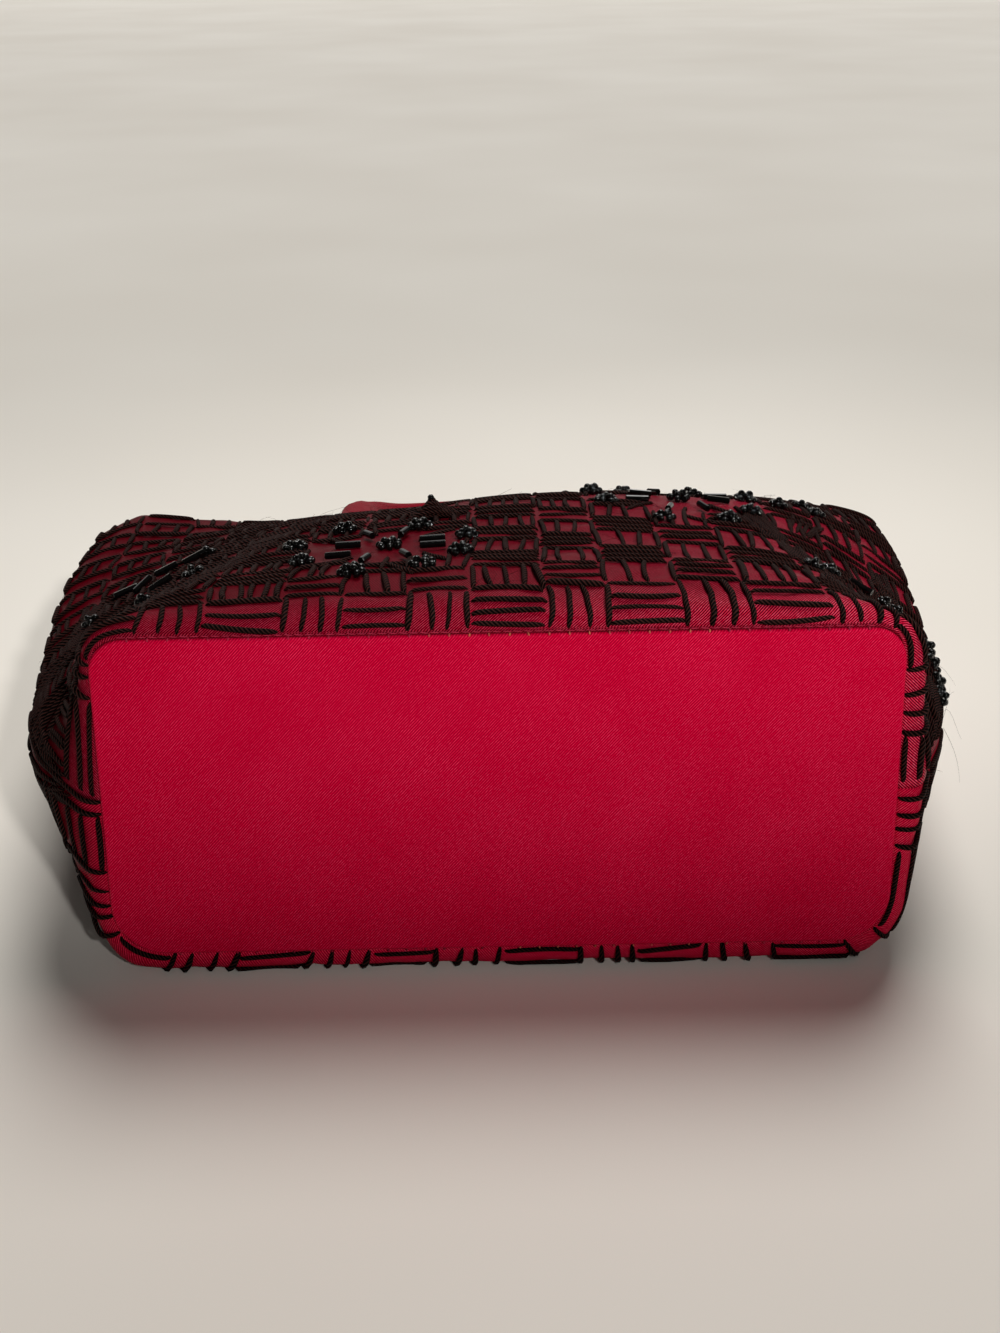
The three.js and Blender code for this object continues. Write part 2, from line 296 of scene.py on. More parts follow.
def colour_ramp(tree, factor, low, high, dark, bright):
    """A colour that goes from dark to bright while the factor goes from low to high."""
    ramp = tree.nodes.new("ShaderNodeValToRGB")
    for end, position, colour in zip(ramp.color_ramp.elements, (low, high), (dark, bright)):
        end.position = position
        end.color = linear(*colour)
    tree.links.new(factor, ramp.inputs["Fac"])
    return ramp.outputs["Color"]


print("a mid grey of 128 is", round(linear(128, 128, 128)[0], 3), "to a shader")

# %% [markdown]
# ## Satin
# Satin is a twill of shiny thread: fine slanted ribs that catch the light, with small bright flecks where
# a thread lies higher. The ribs come from a wave texture across the cloth's own flat map, so they follow
# every fold. A stretched noise breaks them up. Their light and dark colour is partly the weave's own
# pattern and partly painted sheen, and their highest crests get a painted gleam. An attribute named shade
# holds painted shade: it darkens the satin across the stitched front, most on its left, and less beside
# the seam on the right, and the painted gleam is hidden where it is shaded. The back panel is the same
# satin in brighter, more even colours, as painted light on the strips that show round the base.

# %% Weave the satin
WAVE_PERIOD = 2 * math.pi / 20
RIB_PITCH = 0.52 * MM
RIB_SLANT = math.radians(-47)
RIB_HEIGHT = 0.1 * MM
FLECK_SIZE = 0.42 * MM
FLECK_STRETCH = (0.5, 1, 1)
MOTTLE_SIZE = 22 * MM
MOTTLE_SHARE = 0.12
CREST_FROM = 0.69
CREST_TO = 0.84
PAINTED_SHADE_TINT = (0.18, 0.15, 0.16, 1)
SHINE_TINT = (255, 70, 110)


def satin(name, dark, bright, painted_gleam, roughness, shine, fleck):
    """Twill satin on the piece's flat map, given in metres, with a painted gleam on its crests and painted
    shade.
    """
    material, tree, shader = start_finish(name, roughness, shine)
    shader.inputs["Specular Tint"].default_value = linear(*SHINE_TINT)
    flat = add_node(tree, "UVMap", "UV")
    turned = add_node(tree, "Mapping", "Vector", Vector=flat, Rotation=(0, 0, RIB_SLANT))
    ribs = add_node(tree, "TexWave", "Fac", {"bands_direction": "Y"}, Vector=turned,
                    Scale=WAVE_PERIOD / RIB_PITCH, Distortion=0.8, Detail=1, Detail_Scale=0.6)
    stretched = add_node(tree, "Mapping", "Vector", Vector=turned, Scale=FLECK_STRETCH)
    flecks = add_node(tree, "TexNoise", "Fac", Vector=stretched, Scale=1 / FLECK_SIZE, Detail=1)
    mottle = add_node(tree, "TexNoise", "Fac", Vector=flat, Scale=1 / MOTTLE_SIZE, Detail=3)
    woven = add_node(tree, "Mix", "Result", Factor=fleck, A=ribs, B=flecks)
    mixed = add_node(tree, "Mix", "Result", Factor=MOTTLE_SHARE, A=woven, B=mottle)
    plain = colour_ramp(tree, mixed, 0.28, 0.62, dark, bright)

    # Painted shade: the shade attribute darkens the colour, and the painted gleam fades where it is shaded.
    shade = add_node(tree, "Attribute", "Fac", {"attribute_name": "shade"})
    with_painted_shade = add_node(tree, "Mix", "Result", {"data_type": "RGBA", "blend_type": "MULTIPLY"},
                      Factor=shade, A=plain, B=PAINTED_SHADE_TINT)
    unshaded_share = add_node(tree, "MapRange", "Result", Value=shade, To_Min=1, To_Max=0)
    # Painted highlight: the highest crests of the weave take the gleam colour.
    painted_gleam_mask = add_node(tree, "MapRange", "Result", Value=mixed, From_Min=CREST_FROM, From_Max=CREST_TO,
                      To_Max=unshaded_share)
    with_painted_gleam = add_node(tree, "Mix", "Result", {"data_type": "RGBA"},
                        Factor=painted_gleam_mask, A=with_painted_shade, B=linear(*painted_gleam))
    relief = add_node(tree, "Bump", "Normal", Height=woven, Strength=0.6, Distance=RIB_HEIGHT)
    tree.links.new(with_painted_gleam, shader.inputs["Base Color"])
    tree.links.new(relief, shader.inputs["Normal"])
    return material


# All four are one crimson satin. The back panel is painted brighter, as painted light, and the front panel and
# the handle are painted darker, as painted shade.
SATIN_LOOKS_WITH_PAINTED_LIGHT = {
    "front": dict(dark=(78, 0, 15), bright=(214, 4, 54), painted_gleam=(255, 122, 152),
                  roughness=0.4, shine=0.025, fleck=0.36),
    "back": dict(dark=(150, 0, 32), bright=(226, 8, 60), painted_gleam=(248, 88, 118),
                 roughness=0.4, shine=0.02, fleck=0.36),
    "base": dict(dark=(168, 0, 36), bright=(208, 0, 54), painted_gleam=(242, 60, 104),
                 roughness=0.45, shine=0.08, fleck=0.38),
    "handle": dict(dark=(100, 0, 20), bright=(138, 2, 30), painted_gleam=(160, 16, 44),
                   roughness=0.5, shine=0.02, fleck=0.45),
}
satins = {piece: satin(f"crimson_{piece}_satin", **looks) for piece, looks in SATIN_LOOKS_WITH_PAINTED_LIGHT.items()}
print("woven:", [material.name for material in satins.values()])

# %% [markdown]
# ## Thread and glass
# The black thread is four strands twisted together. Its flat map runs round each stitch and along it, so a
# slanted wave on that map draws the twist, as bump and as colour: painted shade between the strands and a
# painted highlight on them. A fine noise roughens it. Modelled strands would cost four times the faces and
# look much the same. The beads are black glass, almost mirror smooth, so they show the lamps as small
# glints.

# %% Twist the thread and polish the glass
STRANDS = 4
THREAD_SHINE = 0.03
TWIST_DEPTH = 0.3 * MM
HAIR_SIZE = 0.25 * MM
HAIR_SHARE = 0.25


def thread(name, dark, bright, roughness, evenness):
    """Twisted thread, each stitch a little lighter or darker, on a map of turns round it and along it."""
    material, tree, shader = start_finish(name, roughness, THREAD_SHINE)
    flat = add_node(tree, "UVMap", "UV")
    strands = add_node(tree, "Mapping", "Vector", Vector=flat, Scale=(STRANDS, -1, 1))
    twist_relief_and_painted_shading = add_node(tree, "TexWave", "Fac", {"bands_direction": "DIAGONAL"}, Vector=strands,
                     Scale=2 * WAVE_PERIOD, Distortion=0.5)
    tone = add_node(tree, "Attribute", "Fac", {"attribute_name": "tone"})
    mixed = add_node(tree, "Mix", "Result", Factor=evenness, A=twist_relief_and_painted_shading, B=tone)
    # The twist wave also colours the strands: painted shade between them and a painted highlight on them.
    colour = colour_ramp(tree, mixed, 0.5, 0.9, dark, bright)
    place = add_node(tree, "TexCoord", "Object")
    hairs = add_node(tree, "TexNoise", "Fac", Vector=place, Scale=1 / HAIR_SIZE)
    rough = add_node(tree, "Mix", "Result", Factor=HAIR_SHARE, A=twist_relief_and_painted_shading, B=hairs)
    relief = add_node(tree, "Bump", "Normal", Height=rough, Strength=1, Distance=TWIST_DEPTH)
    tree.links.new(colour, shader.inputs["Base Color"])
    tree.links.new(relief, shader.inputs["Normal"])
    return material


def wavering(name, dark, bright, roughness, shine, size):
    """A smooth finish whose colour wavers a little from place to place."""
    material, tree, shader = start_finish(name, roughness, shine)
    place = add_node(tree, "TexCoord", "Object")
    waver = add_node(tree, "TexNoise", "Fac", Vector=place, Scale=1 / size)
    colour = colour_ramp(tree, waver, 0.3, 0.7, dark, bright)
    tree.links.new(colour, shader.inputs["Base Color"])
    return material


black_thread = thread("twisted_black_thread", (0, 0, 0), (60, 33, 29), roughness=0.6, evenness=0.12)
gold_thread = thread("fine_gold_thread", (216, 60, 92), (255, 158, 112), roughness=0.4, evenness=0.9)
jet_bead = wavering("jet_glass", (2, 2, 2), (9, 8, 8), roughness=0.09, shine=0.27, size=1.5 * MM)
print("made:", [material.name for material in (black_thread, gold_thread, jet_bead)])

# %% [markdown]
# ## The two cloth panels
# Each panel is one cut of satin sewn to the base along one long edge and to the other panel at its sides.
# A flat grid of the size of the cut is laid on the sampled shape, so its flat map stays true and the twill
# runs as on the real cloth. The thread pulls the satin in a little, which leaves soft swells between
# stitches, so the grid gets a low, uneven relief. Solidify then gives the cloth its thickness, inwards.
# Every piece of the bag is made at the origin with its place in its mesh, rides on the bag and names its
# finish, which is what the helpers are for.

# %% Make and finish pieces
def only(piece):
    """Makes one piece the selected and active one."""
    bpy.ops.object.select_all(action="DESELECT")
    piece.select_set(True)
    bpy.context.view_layer.objects.active = piece


def edit_all(piece, operator, **settings):
    """Runs one operator on the whole mesh of a piece."""
    only(piece)
    bpy.ops.object.mode_set(mode="EDIT")
    bpy.ops.mesh.select_all(action="SELECT")
    operator(**settings)
    bpy.ops.object.mode_set(mode="OBJECT")


def apply_modifier(piece, kind, **settings):
    """Adds a modifier with these settings and applies it."""
    only(piece)
    modifier = piece.modifiers.new(kind.title(), kind)
    for setting, value in settings.items():
        setattr(modifier, setting, value)
    bpy.ops.object.modifier_apply(modifier=modifier.name)


def set_flat_map(mesh, flat):
    """Writes a flat map in metres from one flat place for each vertex."""
    layer = mesh.uv_layers.active or mesh.uv_layers.new(name="UVMap")
    corners = np.zeros(len(mesh.loops), int)
    mesh.loops.foreach_get("vertex_index", corners)
    layer.data.foreach_set("uv", flat[corners].astype(np.float32).ravel())


def set_values(mesh, name, values):
    """Writes an attribute from one value for each vertex."""
    attribute = mesh.attributes.new(name, "FLOAT", "POINT")
    attribute.data.foreach_set("value", values.astype(np.float32))


def finish_piece(piece, name, material):
    """Names a piece, gives it its finish and lets it ride on the bag."""
    piece.name = name
    piece.data.name = name
    piece.data.materials.clear()
    piece.data.materials.append(material)
    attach(piece, "root")
    piece.data.calc_loop_triangles()
    print(name, "has", len(piece.data.loop_triangles), "triangles")
    return piece


# %% Lay the satin on the bag
CLOTH = 1.2 * MM
CLOTH_ACROSS = 200
CLOTH_UP = 116
SWELLS = ((31, 0.4, 0.22), (17, 2.1, 0.16), (11, 1.2, 0.12), (8, 2.8, 0.08))
SWELL_BEND = 2
SWELL_BEND_LENGTH = 2.3
FULL_TURN = 6.28
FLAT_EDGE = 6 * MM
# SHADE_REACH, SEAM_SHADE and CLOTH_SHADE set the painted shade of the satin: its amount at the seam and higher
# up, by place across, most on the left of the front.
SHADE_REACH = 13 * MM
SEAM_SHADE = {
    "front": ((-132, -108, -90, -30, 10, 60, 100, 132), (0.5, 0.62, 0.74, 0.64, 0.47, 0.34, 0.12, 0)),
    "back": ((-140, -125, -100, 140), (0.4, 0.4, 0, 0)),
}
CLOTH_SHADE = ((-70, -20, 30, 90), (1, 0.97, 0.86, 0.72))


def swell(u, v):
    """The low relief of cloth that is pulled in by stitches: bent waves of a length, a turn and a depth."""
    relief = np.zeros_like(u)
    for length, turn, depth in SWELLS:
        across = u * math.cos(turn) + v * math.sin(turn)
        over = v * math.cos(turn) - u * math.sin(turn)
        bend = SWELL_BEND * np.sin(over / (SWELL_BEND_LENGTH * length * MM) * FULL_TURN)
        relief += depth * np.sin(across / (length * MM) * FULL_TURN + bend)
    return relief * MM


def make_panel(side):
    """One panel of satin laid on the bag."""
    bpy.ops.mesh.primitive_grid_add(x_subdivisions=CLOTH_ACROSS, y_subdivisions=CLOTH_UP, size=1)
    piece = bpy.context.object
    flat = np.array([vertex.co[:2] for vertex in piece.data.vertices])
    u = flat[:, 0] * flat_width[side]
    v = (flat[:, 1] + 0.5) * flat_height[side]
    points, out = on_panel(side, u, v)
    inside = np.clip(np.minimum(v, flat_width[side] / 2 - np.abs(u)) / FLAT_EDGE, 0, 1)
    points = points + out * (swell(u, v) * inside)[:, None]
    points[:, 2] = np.maximum(points[:, 2], RESTS_ON_STITCHES)
    piece.data.vertices.foreach_set("co", points.ravel())
    set_flat_map(piece.data, np.stack([u, v], axis=1))
    # Painted shade, eased from its amount at the seam to its amount higher up.
    at_seam = np.interp(u / MM, *SEAM_SHADE[side])
    further = np.interp(u / MM, *CLOTH_SHADE)
    set_values(piece.data, "shade", at_seam + (further - at_seam) * np.clip(v / SHADE_REACH, 0, 1))
    if side == "back":
        edit_all(piece, bpy.ops.mesh.flip_normals)
    apply_modifier(piece, "SOLIDIFY", thickness=CLOTH, offset=-1)
    bpy.ops.object.shade_smooth()
    finish_piece(piece, side + "_satin", satins[side])
    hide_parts(side + "_panel")


for side in surfaces:
    make_panel(side)

# %% [markdown]
# ## The stiff base
# The base is a board wrapped in plain satin. Its upper corners are tighter than the lower two, and its edge
# is soft all round. It starts as a plane of the board's size. Vertex bevels round its corners, it is
# extruded to the board's thickness, and the edge of the outer face is bevelled. A rounded box would give
# all four corners the same radius.

# %% Model the base
BASE_TOP_CORNER = 8 * MM
BASE_FLOOR_CORNER = 13 * MM
BASE_SOFT_EDGE = 0.9 * MM
SMOOTH_UNDER = math.radians(50)
NEAR = 0.1 * MM
base_length = base_points[:, 0].max() - base_points[:, 0].min()
base_low = (base_points @ base_up).min()
base_depth = (base_points @ base_up).max() - base_low
base_thick = base_face - (base_points @ base_out).min()
base_centre = np.array([base_middle, 0, 0]) + base_up * (base_low + base_depth / 2) + base_out * base_face
base_frame = Matrix.Identity(4)
for column, direction in enumerate(((1, 0, 0), base_up, base_out, base_centre)):
    for row in range(3):
        base_frame[row][column] = direction[row]


def select(piece, kind, wanted):
    """Selects the vertices, or the edges with both ends, that pass a test, and goes to edit mode."""
    bpy.ops.object.mode_set(mode="EDIT")
    bpy.ops.mesh.select_mode(type=kind)
    bpy.ops.mesh.select_all(action="DESELECT")
    bpy.ops.object.mode_set(mode="OBJECT")
    mesh = piece.data
    if kind == "VERT":
        for vertex in mesh.vertices:
            vertex.select = wanted(vertex.co)
    else:
        for edge in mesh.edges:
            edge.select = all(wanted(mesh.vertices[i].co) for i in edge.vertices)
    bpy.ops.object.mode_set(mode="EDIT")


bpy.ops.mesh.primitive_plane_add(size=1)
base = bpy.context.object
bpy.ops.object.mode_set(mode="EDIT")
bpy.ops.transform.resize(value=(base_length, base_depth, 1))
for way, radius in ((1, BASE_TOP_CORNER), (-1, BASE_FLOOR_CORNER)):
    select(base, "VERT", lambda place: way * place.y > base_depth / 2 - NEAR)
    bpy.ops.mesh.bevel(affect="VERTICES", offset=radius, offset_type="OFFSET", segments=10)
bpy.ops.mesh.select_all(action="SELECT")
bpy.ops.mesh.extrude_region_move(TRANSFORM_OT_translate={"value": (0, 0, -base_thick)})
bpy.ops.mesh.select_all(action="SELECT")
bpy.ops.mesh.normals_make_consistent(inside=False)
select(base, "EDGE", lambda place: place.z > -NEAR)
bpy.ops.mesh.bevel(affect="EDGES", offset=BASE_SOFT_EDGE, segments=4)
bpy.ops.object.mode_set(mode="OBJECT")
set_flat_map(base.data, np.array([vertex.co[:2] for vertex in base.data.vertices]))
base.data.transform(base_frame)
only(base)
bpy.ops.object.shade_smooth_by_angle(angle=SMOOTH_UNDER)
apply_modifier(base, "WEIGHTED_NORMAL", keep_sharp=True)
finish_piece(base, "base_satin", satins["base"])
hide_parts("base_panel")

# %% [markdown]
# ## Tubes and many small parts
# Seams, stitches, beads and fibres are small and many. An object for each would be slow to render, so they
# are worked out as arrays of points and faces and joined into one mesh for each kind. A tube is a row of
# rings. Its flat map counts turns round it and the given values along it, which the thread's twist needs.

# %% Join parts and draw tubes
ROPE_FLATTENED = 0.9


def joined(name, parts, material):
    """One piece from parts, each of points, faces, a tone and, on ropes, the flat map of face corners."""
    points = np.vstack([part[0] for part in parts])
    starts = np.cumsum([0] + [len(part[0]) for part in parts])
    faces = [[i + start for i in face] for part, start in zip(parts, starts) for face in part[1]]
    mesh = bpy.data.meshes.new(name)
    mesh.from_pydata(points.tolist(), [], faces)
    mesh.polygons.foreach_set("use_smooth", np.ones(len(mesh.polygons), bool))
    set_values(mesh, "tone", np.concatenate([np.full(len(part[0]), part[2]) for part in parts]))
    if len(parts[0]) == 4:
        corners = np.vstack([part[3] for part in parts])
        mesh.uv_layers.new(name="UVMap").data.foreach_set("uv", corners.astype(np.float32).ravel())
    piece = bpy.data.objects.new(name, mesh)
    bpy.context.scene.collection.objects.link(piece)
    return finish_piece(piece, name, material)


def tube_faces(rings, sides):
    """Faces of a tube of rings, closed at both ends."""
    faces = []
    for r in range(rings - 1):
        for k in range(sides):
            a = r * sides + k
            b = r * sides + (k + 1) % sides
            faces.append([a, b, b + sides, a + sides])
    last = (rings - 1) * sides
    faces.append(list(range(sides))[::-1])
    faces.append([last + k for k in range(sides)])
    return faces


def tube_corners(along, sides):
    """The flat map of the face corners of such a tube: turns round it, and the given values along it."""
    k = np.arange(sides)
    turns = np.stack([k, k + 1, k + 1, k], axis=1) / sides
    values = np.stack([along[:-1], along[:-1], along[1:], along[1:]], axis=1)
    flat = np.stack(np.broadcast_arrays(turns[None], values[:, None]), axis=-1)
    return np.vstack([flat.reshape(-1, 2), np.zeros((2 * sides, 2))])


def angles(sides):
    """Even angles all round."""
    return np.arange(sides) / sides * 2 * math.pi


def rope(points, out, radius, lift, sides, along, tone):
    """A round strand along points, lifted off the surface below it."""
    forward = unit(np.gradient(points, axis=0))
    sideways = unit(np.cross(out, forward))
    rise = lift[:, None] + ROPE_FLATTENED * radius[:, None] * np.sin(angles(sides))
    wide = radius[:, None] * np.cos(angles(sides))
    rings = points[:, None] + out[:, None] * rise[..., None] + sideways[:, None] * wide[..., None]
    rings[..., 2] = np.maximum(rings[..., 2], 0)
    return rings.reshape(-1, 3), tube_faces(len(points), sides), tone, tube_corners(along, sides)


print("a tube of 10 rings with 8 sides has", len(tube_faces(10, 8)), "faces")

# %% [markdown]
# ## The seam round the base
# The cloth's edge is turned in beside the base, which leaves a low roll of satin in the groove between them.
# The roll shows along the upper edge, where a running stitch in red thread holds it, and it sinks into the
# groove elsewhere. A curve with a bevel could draw it, but the outline of the base is worked out once, at
# any distance from the board's edge, because the small stitches need it too.

# %% Lay the rolled seam
ROLL = 0.6 * MM
ROLL_OFFSET = 0.62 * MM
ROLL_DEPTH = 1.3 * MM
ROLL_SINKS = 1.8 * MM
ROLL_SIDES = 8
ROLL_STEP = 1.5 * MM
ROLL_SHADE = 0.7
CORNER_POINTS = 24


def outline(offset, step):
    """Even places round the base at a distance from its edge, and the ways straight out from that edge."""
    places = []
    for turn, (x, y) in enumerate(((1, 1), (-1, 1), (-1, -1), (1, -1))):
        radius = BASE_TOP_CORNER if y > 0 else BASE_FLOOR_CORNER
        for angle in np.linspace(turn, turn + 1, CORNER_POINTS) * math.pi / 2:
            places.append((x * (base_length / 2 - radius) + (radius + offset) * math.cos(angle),
                           y * (base_depth / 2 - radius) + (radius + offset) * math.sin(angle), 0))
    places.append(places[0])
    line = np.array(places)
    total = np.linalg.norm(np.diff(line, axis=0), axis=1).sum()
    even = evenly(line, round(total / step))[:-1]
    ahead = unit(np.roll(even, -1, axis=0) - np.roll(even, 1, axis=0))
    away = np.stack([ahead[:, 1], -ahead[:, 0], np.zeros(len(even))], axis=1)
    return even, away


def on_base(places, height):
    """Places of the base's own plane set on the bag, at heights over its outer face."""
    heights = np.broadcast_to(height, len(places))
    return (base_centre + np.outer(places[:, 0], (1, 0, 0)) + np.outer(places[:, 1], base_up)
            + np.outer(heights, base_out))


def closed_tube(places, away, radius, sides, height):
    """A tube round the base, as points and faces."""
    middle = on_base(places, height)
    sideways = np.outer(away[:, 0], (1, 0, 0)) + np.outer(away[:, 1], base_up)
    points = (middle[:, None] + sideways[:, None] * (radius * np.cos(angles(sides)))[None, :, None]
              + base_out * (radius * np.sin(angles(sides)))[None, :, None])
    rings = len(places)
    faces = [[r * sides + k, r * sides + (k + 1) % sides,
              (r + 1) % rings * sides + (k + 1) % sides, (r + 1) % rings * sides + k]
             for r in range(rings) for k in range(sides)]
    return points.reshape(-1, 3), faces


places, away = outline(ROLL_OFFSET, ROLL_STEP)
roll_height = -ROLL_DEPTH - ROLL_SINKS * (1 - np.clip(away[:, 1], 0, 1))
roll_points, roll_faces = closed_tube(places, away, ROLL, ROLL_SIDES, roll_height)
roll = joined("seam_roll", [(roll_points, roll_faces, 0.5)], satins["front"])
edit_all(roll, bpy.ops.mesh.normals_make_consistent, inside=False)
along = np.repeat(np.arange(len(places)) * ROLL_STEP, ROLL_SIDES)
around = np.tile(angles(ROLL_SIDES) * ROLL, len(places))
set_flat_map(roll.data, np.stack([along, around], axis=1))
# The roll is painted darker, as painted shade in the groove beside the base.
set_values(roll.data, "shade", np.full(len(roll_points), ROLL_SHADE))

# %% [markdown]
# ## Small stitches at the seam
# A running stitch in red thread lies along the roll above the base, and tiny stitches catch the base to it
# along its two long edges. Most of those are red and hardly show, and some in the middle are golden.
# One thread finish serves both, because the tone of each stitch picks a colour between red and gold.

# %% Sew the seam
RUNNING_PITCH = 2.4 * MM
RUNNING_THICK = 0.24 * MM
RUNNING_REACH = (0.38, 0.46)
RUNNING_DRIFT = (-0.02, 0.16)
RED_TONES = (0, 0.2)
CATCH_PITCH = 4.6 * MM
CATCH_THICK = 0.4 * MM
CATCH_IN = 0.3 * MM
CATCH_OUT = 0.4 * MM
CATCH_HEIGHTS = (-0.1 * MM, -0.55 * MM)
CATCH_SLANT = 0.12
GOLDEN = {1: (-16 * MM, 52 * MM), -1: (4 * MM, 58 * MM)}
GOLDEN_TONES = (0.6, 1)
HIDDEN_TONES = (0, 0.3)
STRAIGHT = 0.99


def small_stitch(near, far, heights, thick, tone):
    """A short stitch between two places of the base's plane, at a height for each end."""
    s = np.linspace(0, 1, 6)
    line = on_base(near + np.outer(s, far - near), heights[0] + s * (heights[1] - heights[0]))
    bulge = 1 - (2 * s - 1) ** 4
    radius = thick / 2 * (0.4 + 0.6 * bulge)
    return rope(line, np.tile(base_out, (len(s), 1)), radius, 0.4 * thick * bulge, 6, s * 2, tone)


small_stitches = []
places, away = outline(ROLL_OFFSET, RUNNING_PITCH)
ahead = np.stack([-away[:, 1], away[:, 0], away[:, 2]], axis=1)
heights = (ROLL - ROLL_DEPTH, ROLL - ROLL_DEPTH)
for place, out_of, on in zip(places, away, ahead):
    if out_of[1] > STRAIGHT:
        reach = on * RUNNING_PITCH * rng.uniform(*RUNNING_REACH) + out_of * rng.uniform(*RUNNING_DRIFT) * MM
        tone = rng.uniform(*RED_TONES)
        small_stitches.append(small_stitch(place - reach, place + reach, heights, RUNNING_THICK, tone))
places, away = outline(0, CATCH_PITCH)
for place, out_of in zip(places, away):
    if abs(out_of[1]) > STRAIGHT:
        start, end = GOLDEN[round(out_of[1])]
        slant = np.array([rng.normal(0, CATCH_SLANT), 0, 0]) * MM
        near = place - out_of * CATCH_IN
        far = place + out_of * CATCH_OUT + slant
        tone = rng.uniform(*(GOLDEN_TONES if start < place[0] < end else HIDDEN_TONES))
        small_stitches.append(small_stitch(near, far, CATCH_HEIGHTS, CATCH_THICK, tone))
joined("seam_stitches", small_stitches, gold_thread)

# %% [markdown]
# ## The rolled handle
# The handle is a strip of satin rolled into a soft tube. Its ends are pressed flat and sewn under the edge of
# the front panel, and it droops behind the bag until its crown lies on the table.
# Its route is the one that the solid follows. The tube has an oval section and faint creases where the roll
# was twisted, and it is laid along a smooth line through the route's points.

# %% Lay the handle along its route
HANDLE_ROUTE = (
    (-44.3, -4.8, 58.1), (-44.3, 12.2, 51.3), (-47.0, 58.8, 38.0), (-45.2, 105.3, 20.5), (-29.9, 137.3, 7.4),
    (0.7, 145.2, 5.3), (31.3, 137.3, 7.4), (46.6, 105.3, 22.2), (48.4, 58.8, 41.0), (45.7, 12.2, 55.4),
    (45.7, -4.8, 62.9),
)
HANDLE_TUBE = (12 * MM, 10 * MM)
HANDLE_TAB = (16 * MM, 3 * MM)
HANDLE_TAB_LENGTH = 17 * MM
HANDLE_STEPS = 150
HANDLE_SIDES = 24
CREASES = 3
CREASE_TWIST = 14 * MM
CREASE_LENGTH = 9 * MM
CREASE_DEPTH = 0.035


def smooth_line(points, count):
    """A smooth line through points, divided evenly."""
    before = 2 * points[0] - points[1]
    after = 2 * points[-1] - points[-2]
    knots = np.vstack([before, points, after])
    line = []
    for a, b, c, d in zip(knots, knots[1:], knots[2:], knots[3:]):
        steps = [np.linalg.norm(q - p) ** 0.5 for p, q in ((a, b), (b, c), (c, d))]
        t0, t1, t2, t3 = np.cumsum([0, *steps])
        for t in np.linspace(t1, t2, 24, endpoint=False):
            ab = a + (b - a) * (t - t0) / (t1 - t0)
            bc = b + (c - b) * (t - t1) / (t2 - t1)
            cd = c + (d - c) * (t - t2) / (t3 - t2)
            abc = ab + (bc - ab) * (t - t0) / (t2 - t0)
            bcd = bc + (cd - bc) * (t - t1) / (t3 - t1)
            line.append(abc + (bcd - abc) * (t - t1) / (t2 - t1))
    line.append(points[-1])
    return evenly(np.array(line), count)


def smoothstep(share):
    """A share from 0 to 1 that starts and ends gently."""
    share = np.clip(share, 0, 1)
    return share * share * (3 - 2 * share)


line = smooth_line(np.array(HANDLE_ROUTE) * MM, HANDLE_STEPS)
along = unit(np.gradient(line, axis=0))
sideways = unit(np.cross((0, 0, 1), along))
upward = np.cross(along, sideways)
length = np.linalg.norm(np.diff(line, axis=0), axis=1).sum()
far = np.linspace(0, length, HANDLE_STEPS + 1)
roundness = smoothstep(np.minimum(far, length - far) / HANDLE_TAB_LENGTH - 1)
wide, tall = ((tab + (tube - tab) * roundness) / 2 for tab, tube in zip(HANDLE_TAB, HANDLE_TUBE))
angle = angles(HANDLE_SIDES)
crease = np.sin(CREASES * angle[None, :] + far[:, None] / CREASE_TWIST)
crease = crease * np.sin(far[:, None] / CREASE_LENGTH + 1)
crease = 1 + CREASE_DEPTH * crease * roundness[:, None]
rings = (line[:, None] + sideways[:, None] * (wide[:, None] * np.cos(angle) * crease)[..., None]
         + upward[:, None] * (tall[:, None] * np.sin(angle) * crease)[..., None])
rings[..., 2] = np.maximum(rings[..., 2], 0)
handle_faces = tube_faces(HANDLE_STEPS + 1, HANDLE_SIDES)
handle = joined("handle_satin", [(rings.reshape(-1, 3), handle_faces, 0.5)], satins["handle"])
around = np.tile(angle * HANDLE_TUBE[0] / 2, HANDLE_STEPS + 1)
set_flat_map(handle.data, np.stack([np.repeat(far, HANDLE_SIDES), around], axis=1))
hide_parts("handle")
print("handle is", round(length, 3), "m long")

# %% [markdown]
# ## One stitch
# A stitch is a thin twisted tube that follows the cloth. Its ends grow thinner and dive in, and it bows a
# little to one side. A curve object could draw one too, but more than a thousand of them would be slow, so a
# stitch is worked out as points and faces, and all of a kind are joined.

# %% Define a stitch
STITCH = 1.4 * MM
TWIST_PITCH = 1.15 * MM
STITCH_STEP = 1.1 * MM
STITCH_TAPER = 3.5 * MM
STITCH_THINNER = (0.2, 0.7)
STITCH_DIVE = 1.1 * MM
STITCH_LIFT = 0.34
STITCH_SINKS = 0.6
STITCH_SIDES = {"front": 8, "back": 6}


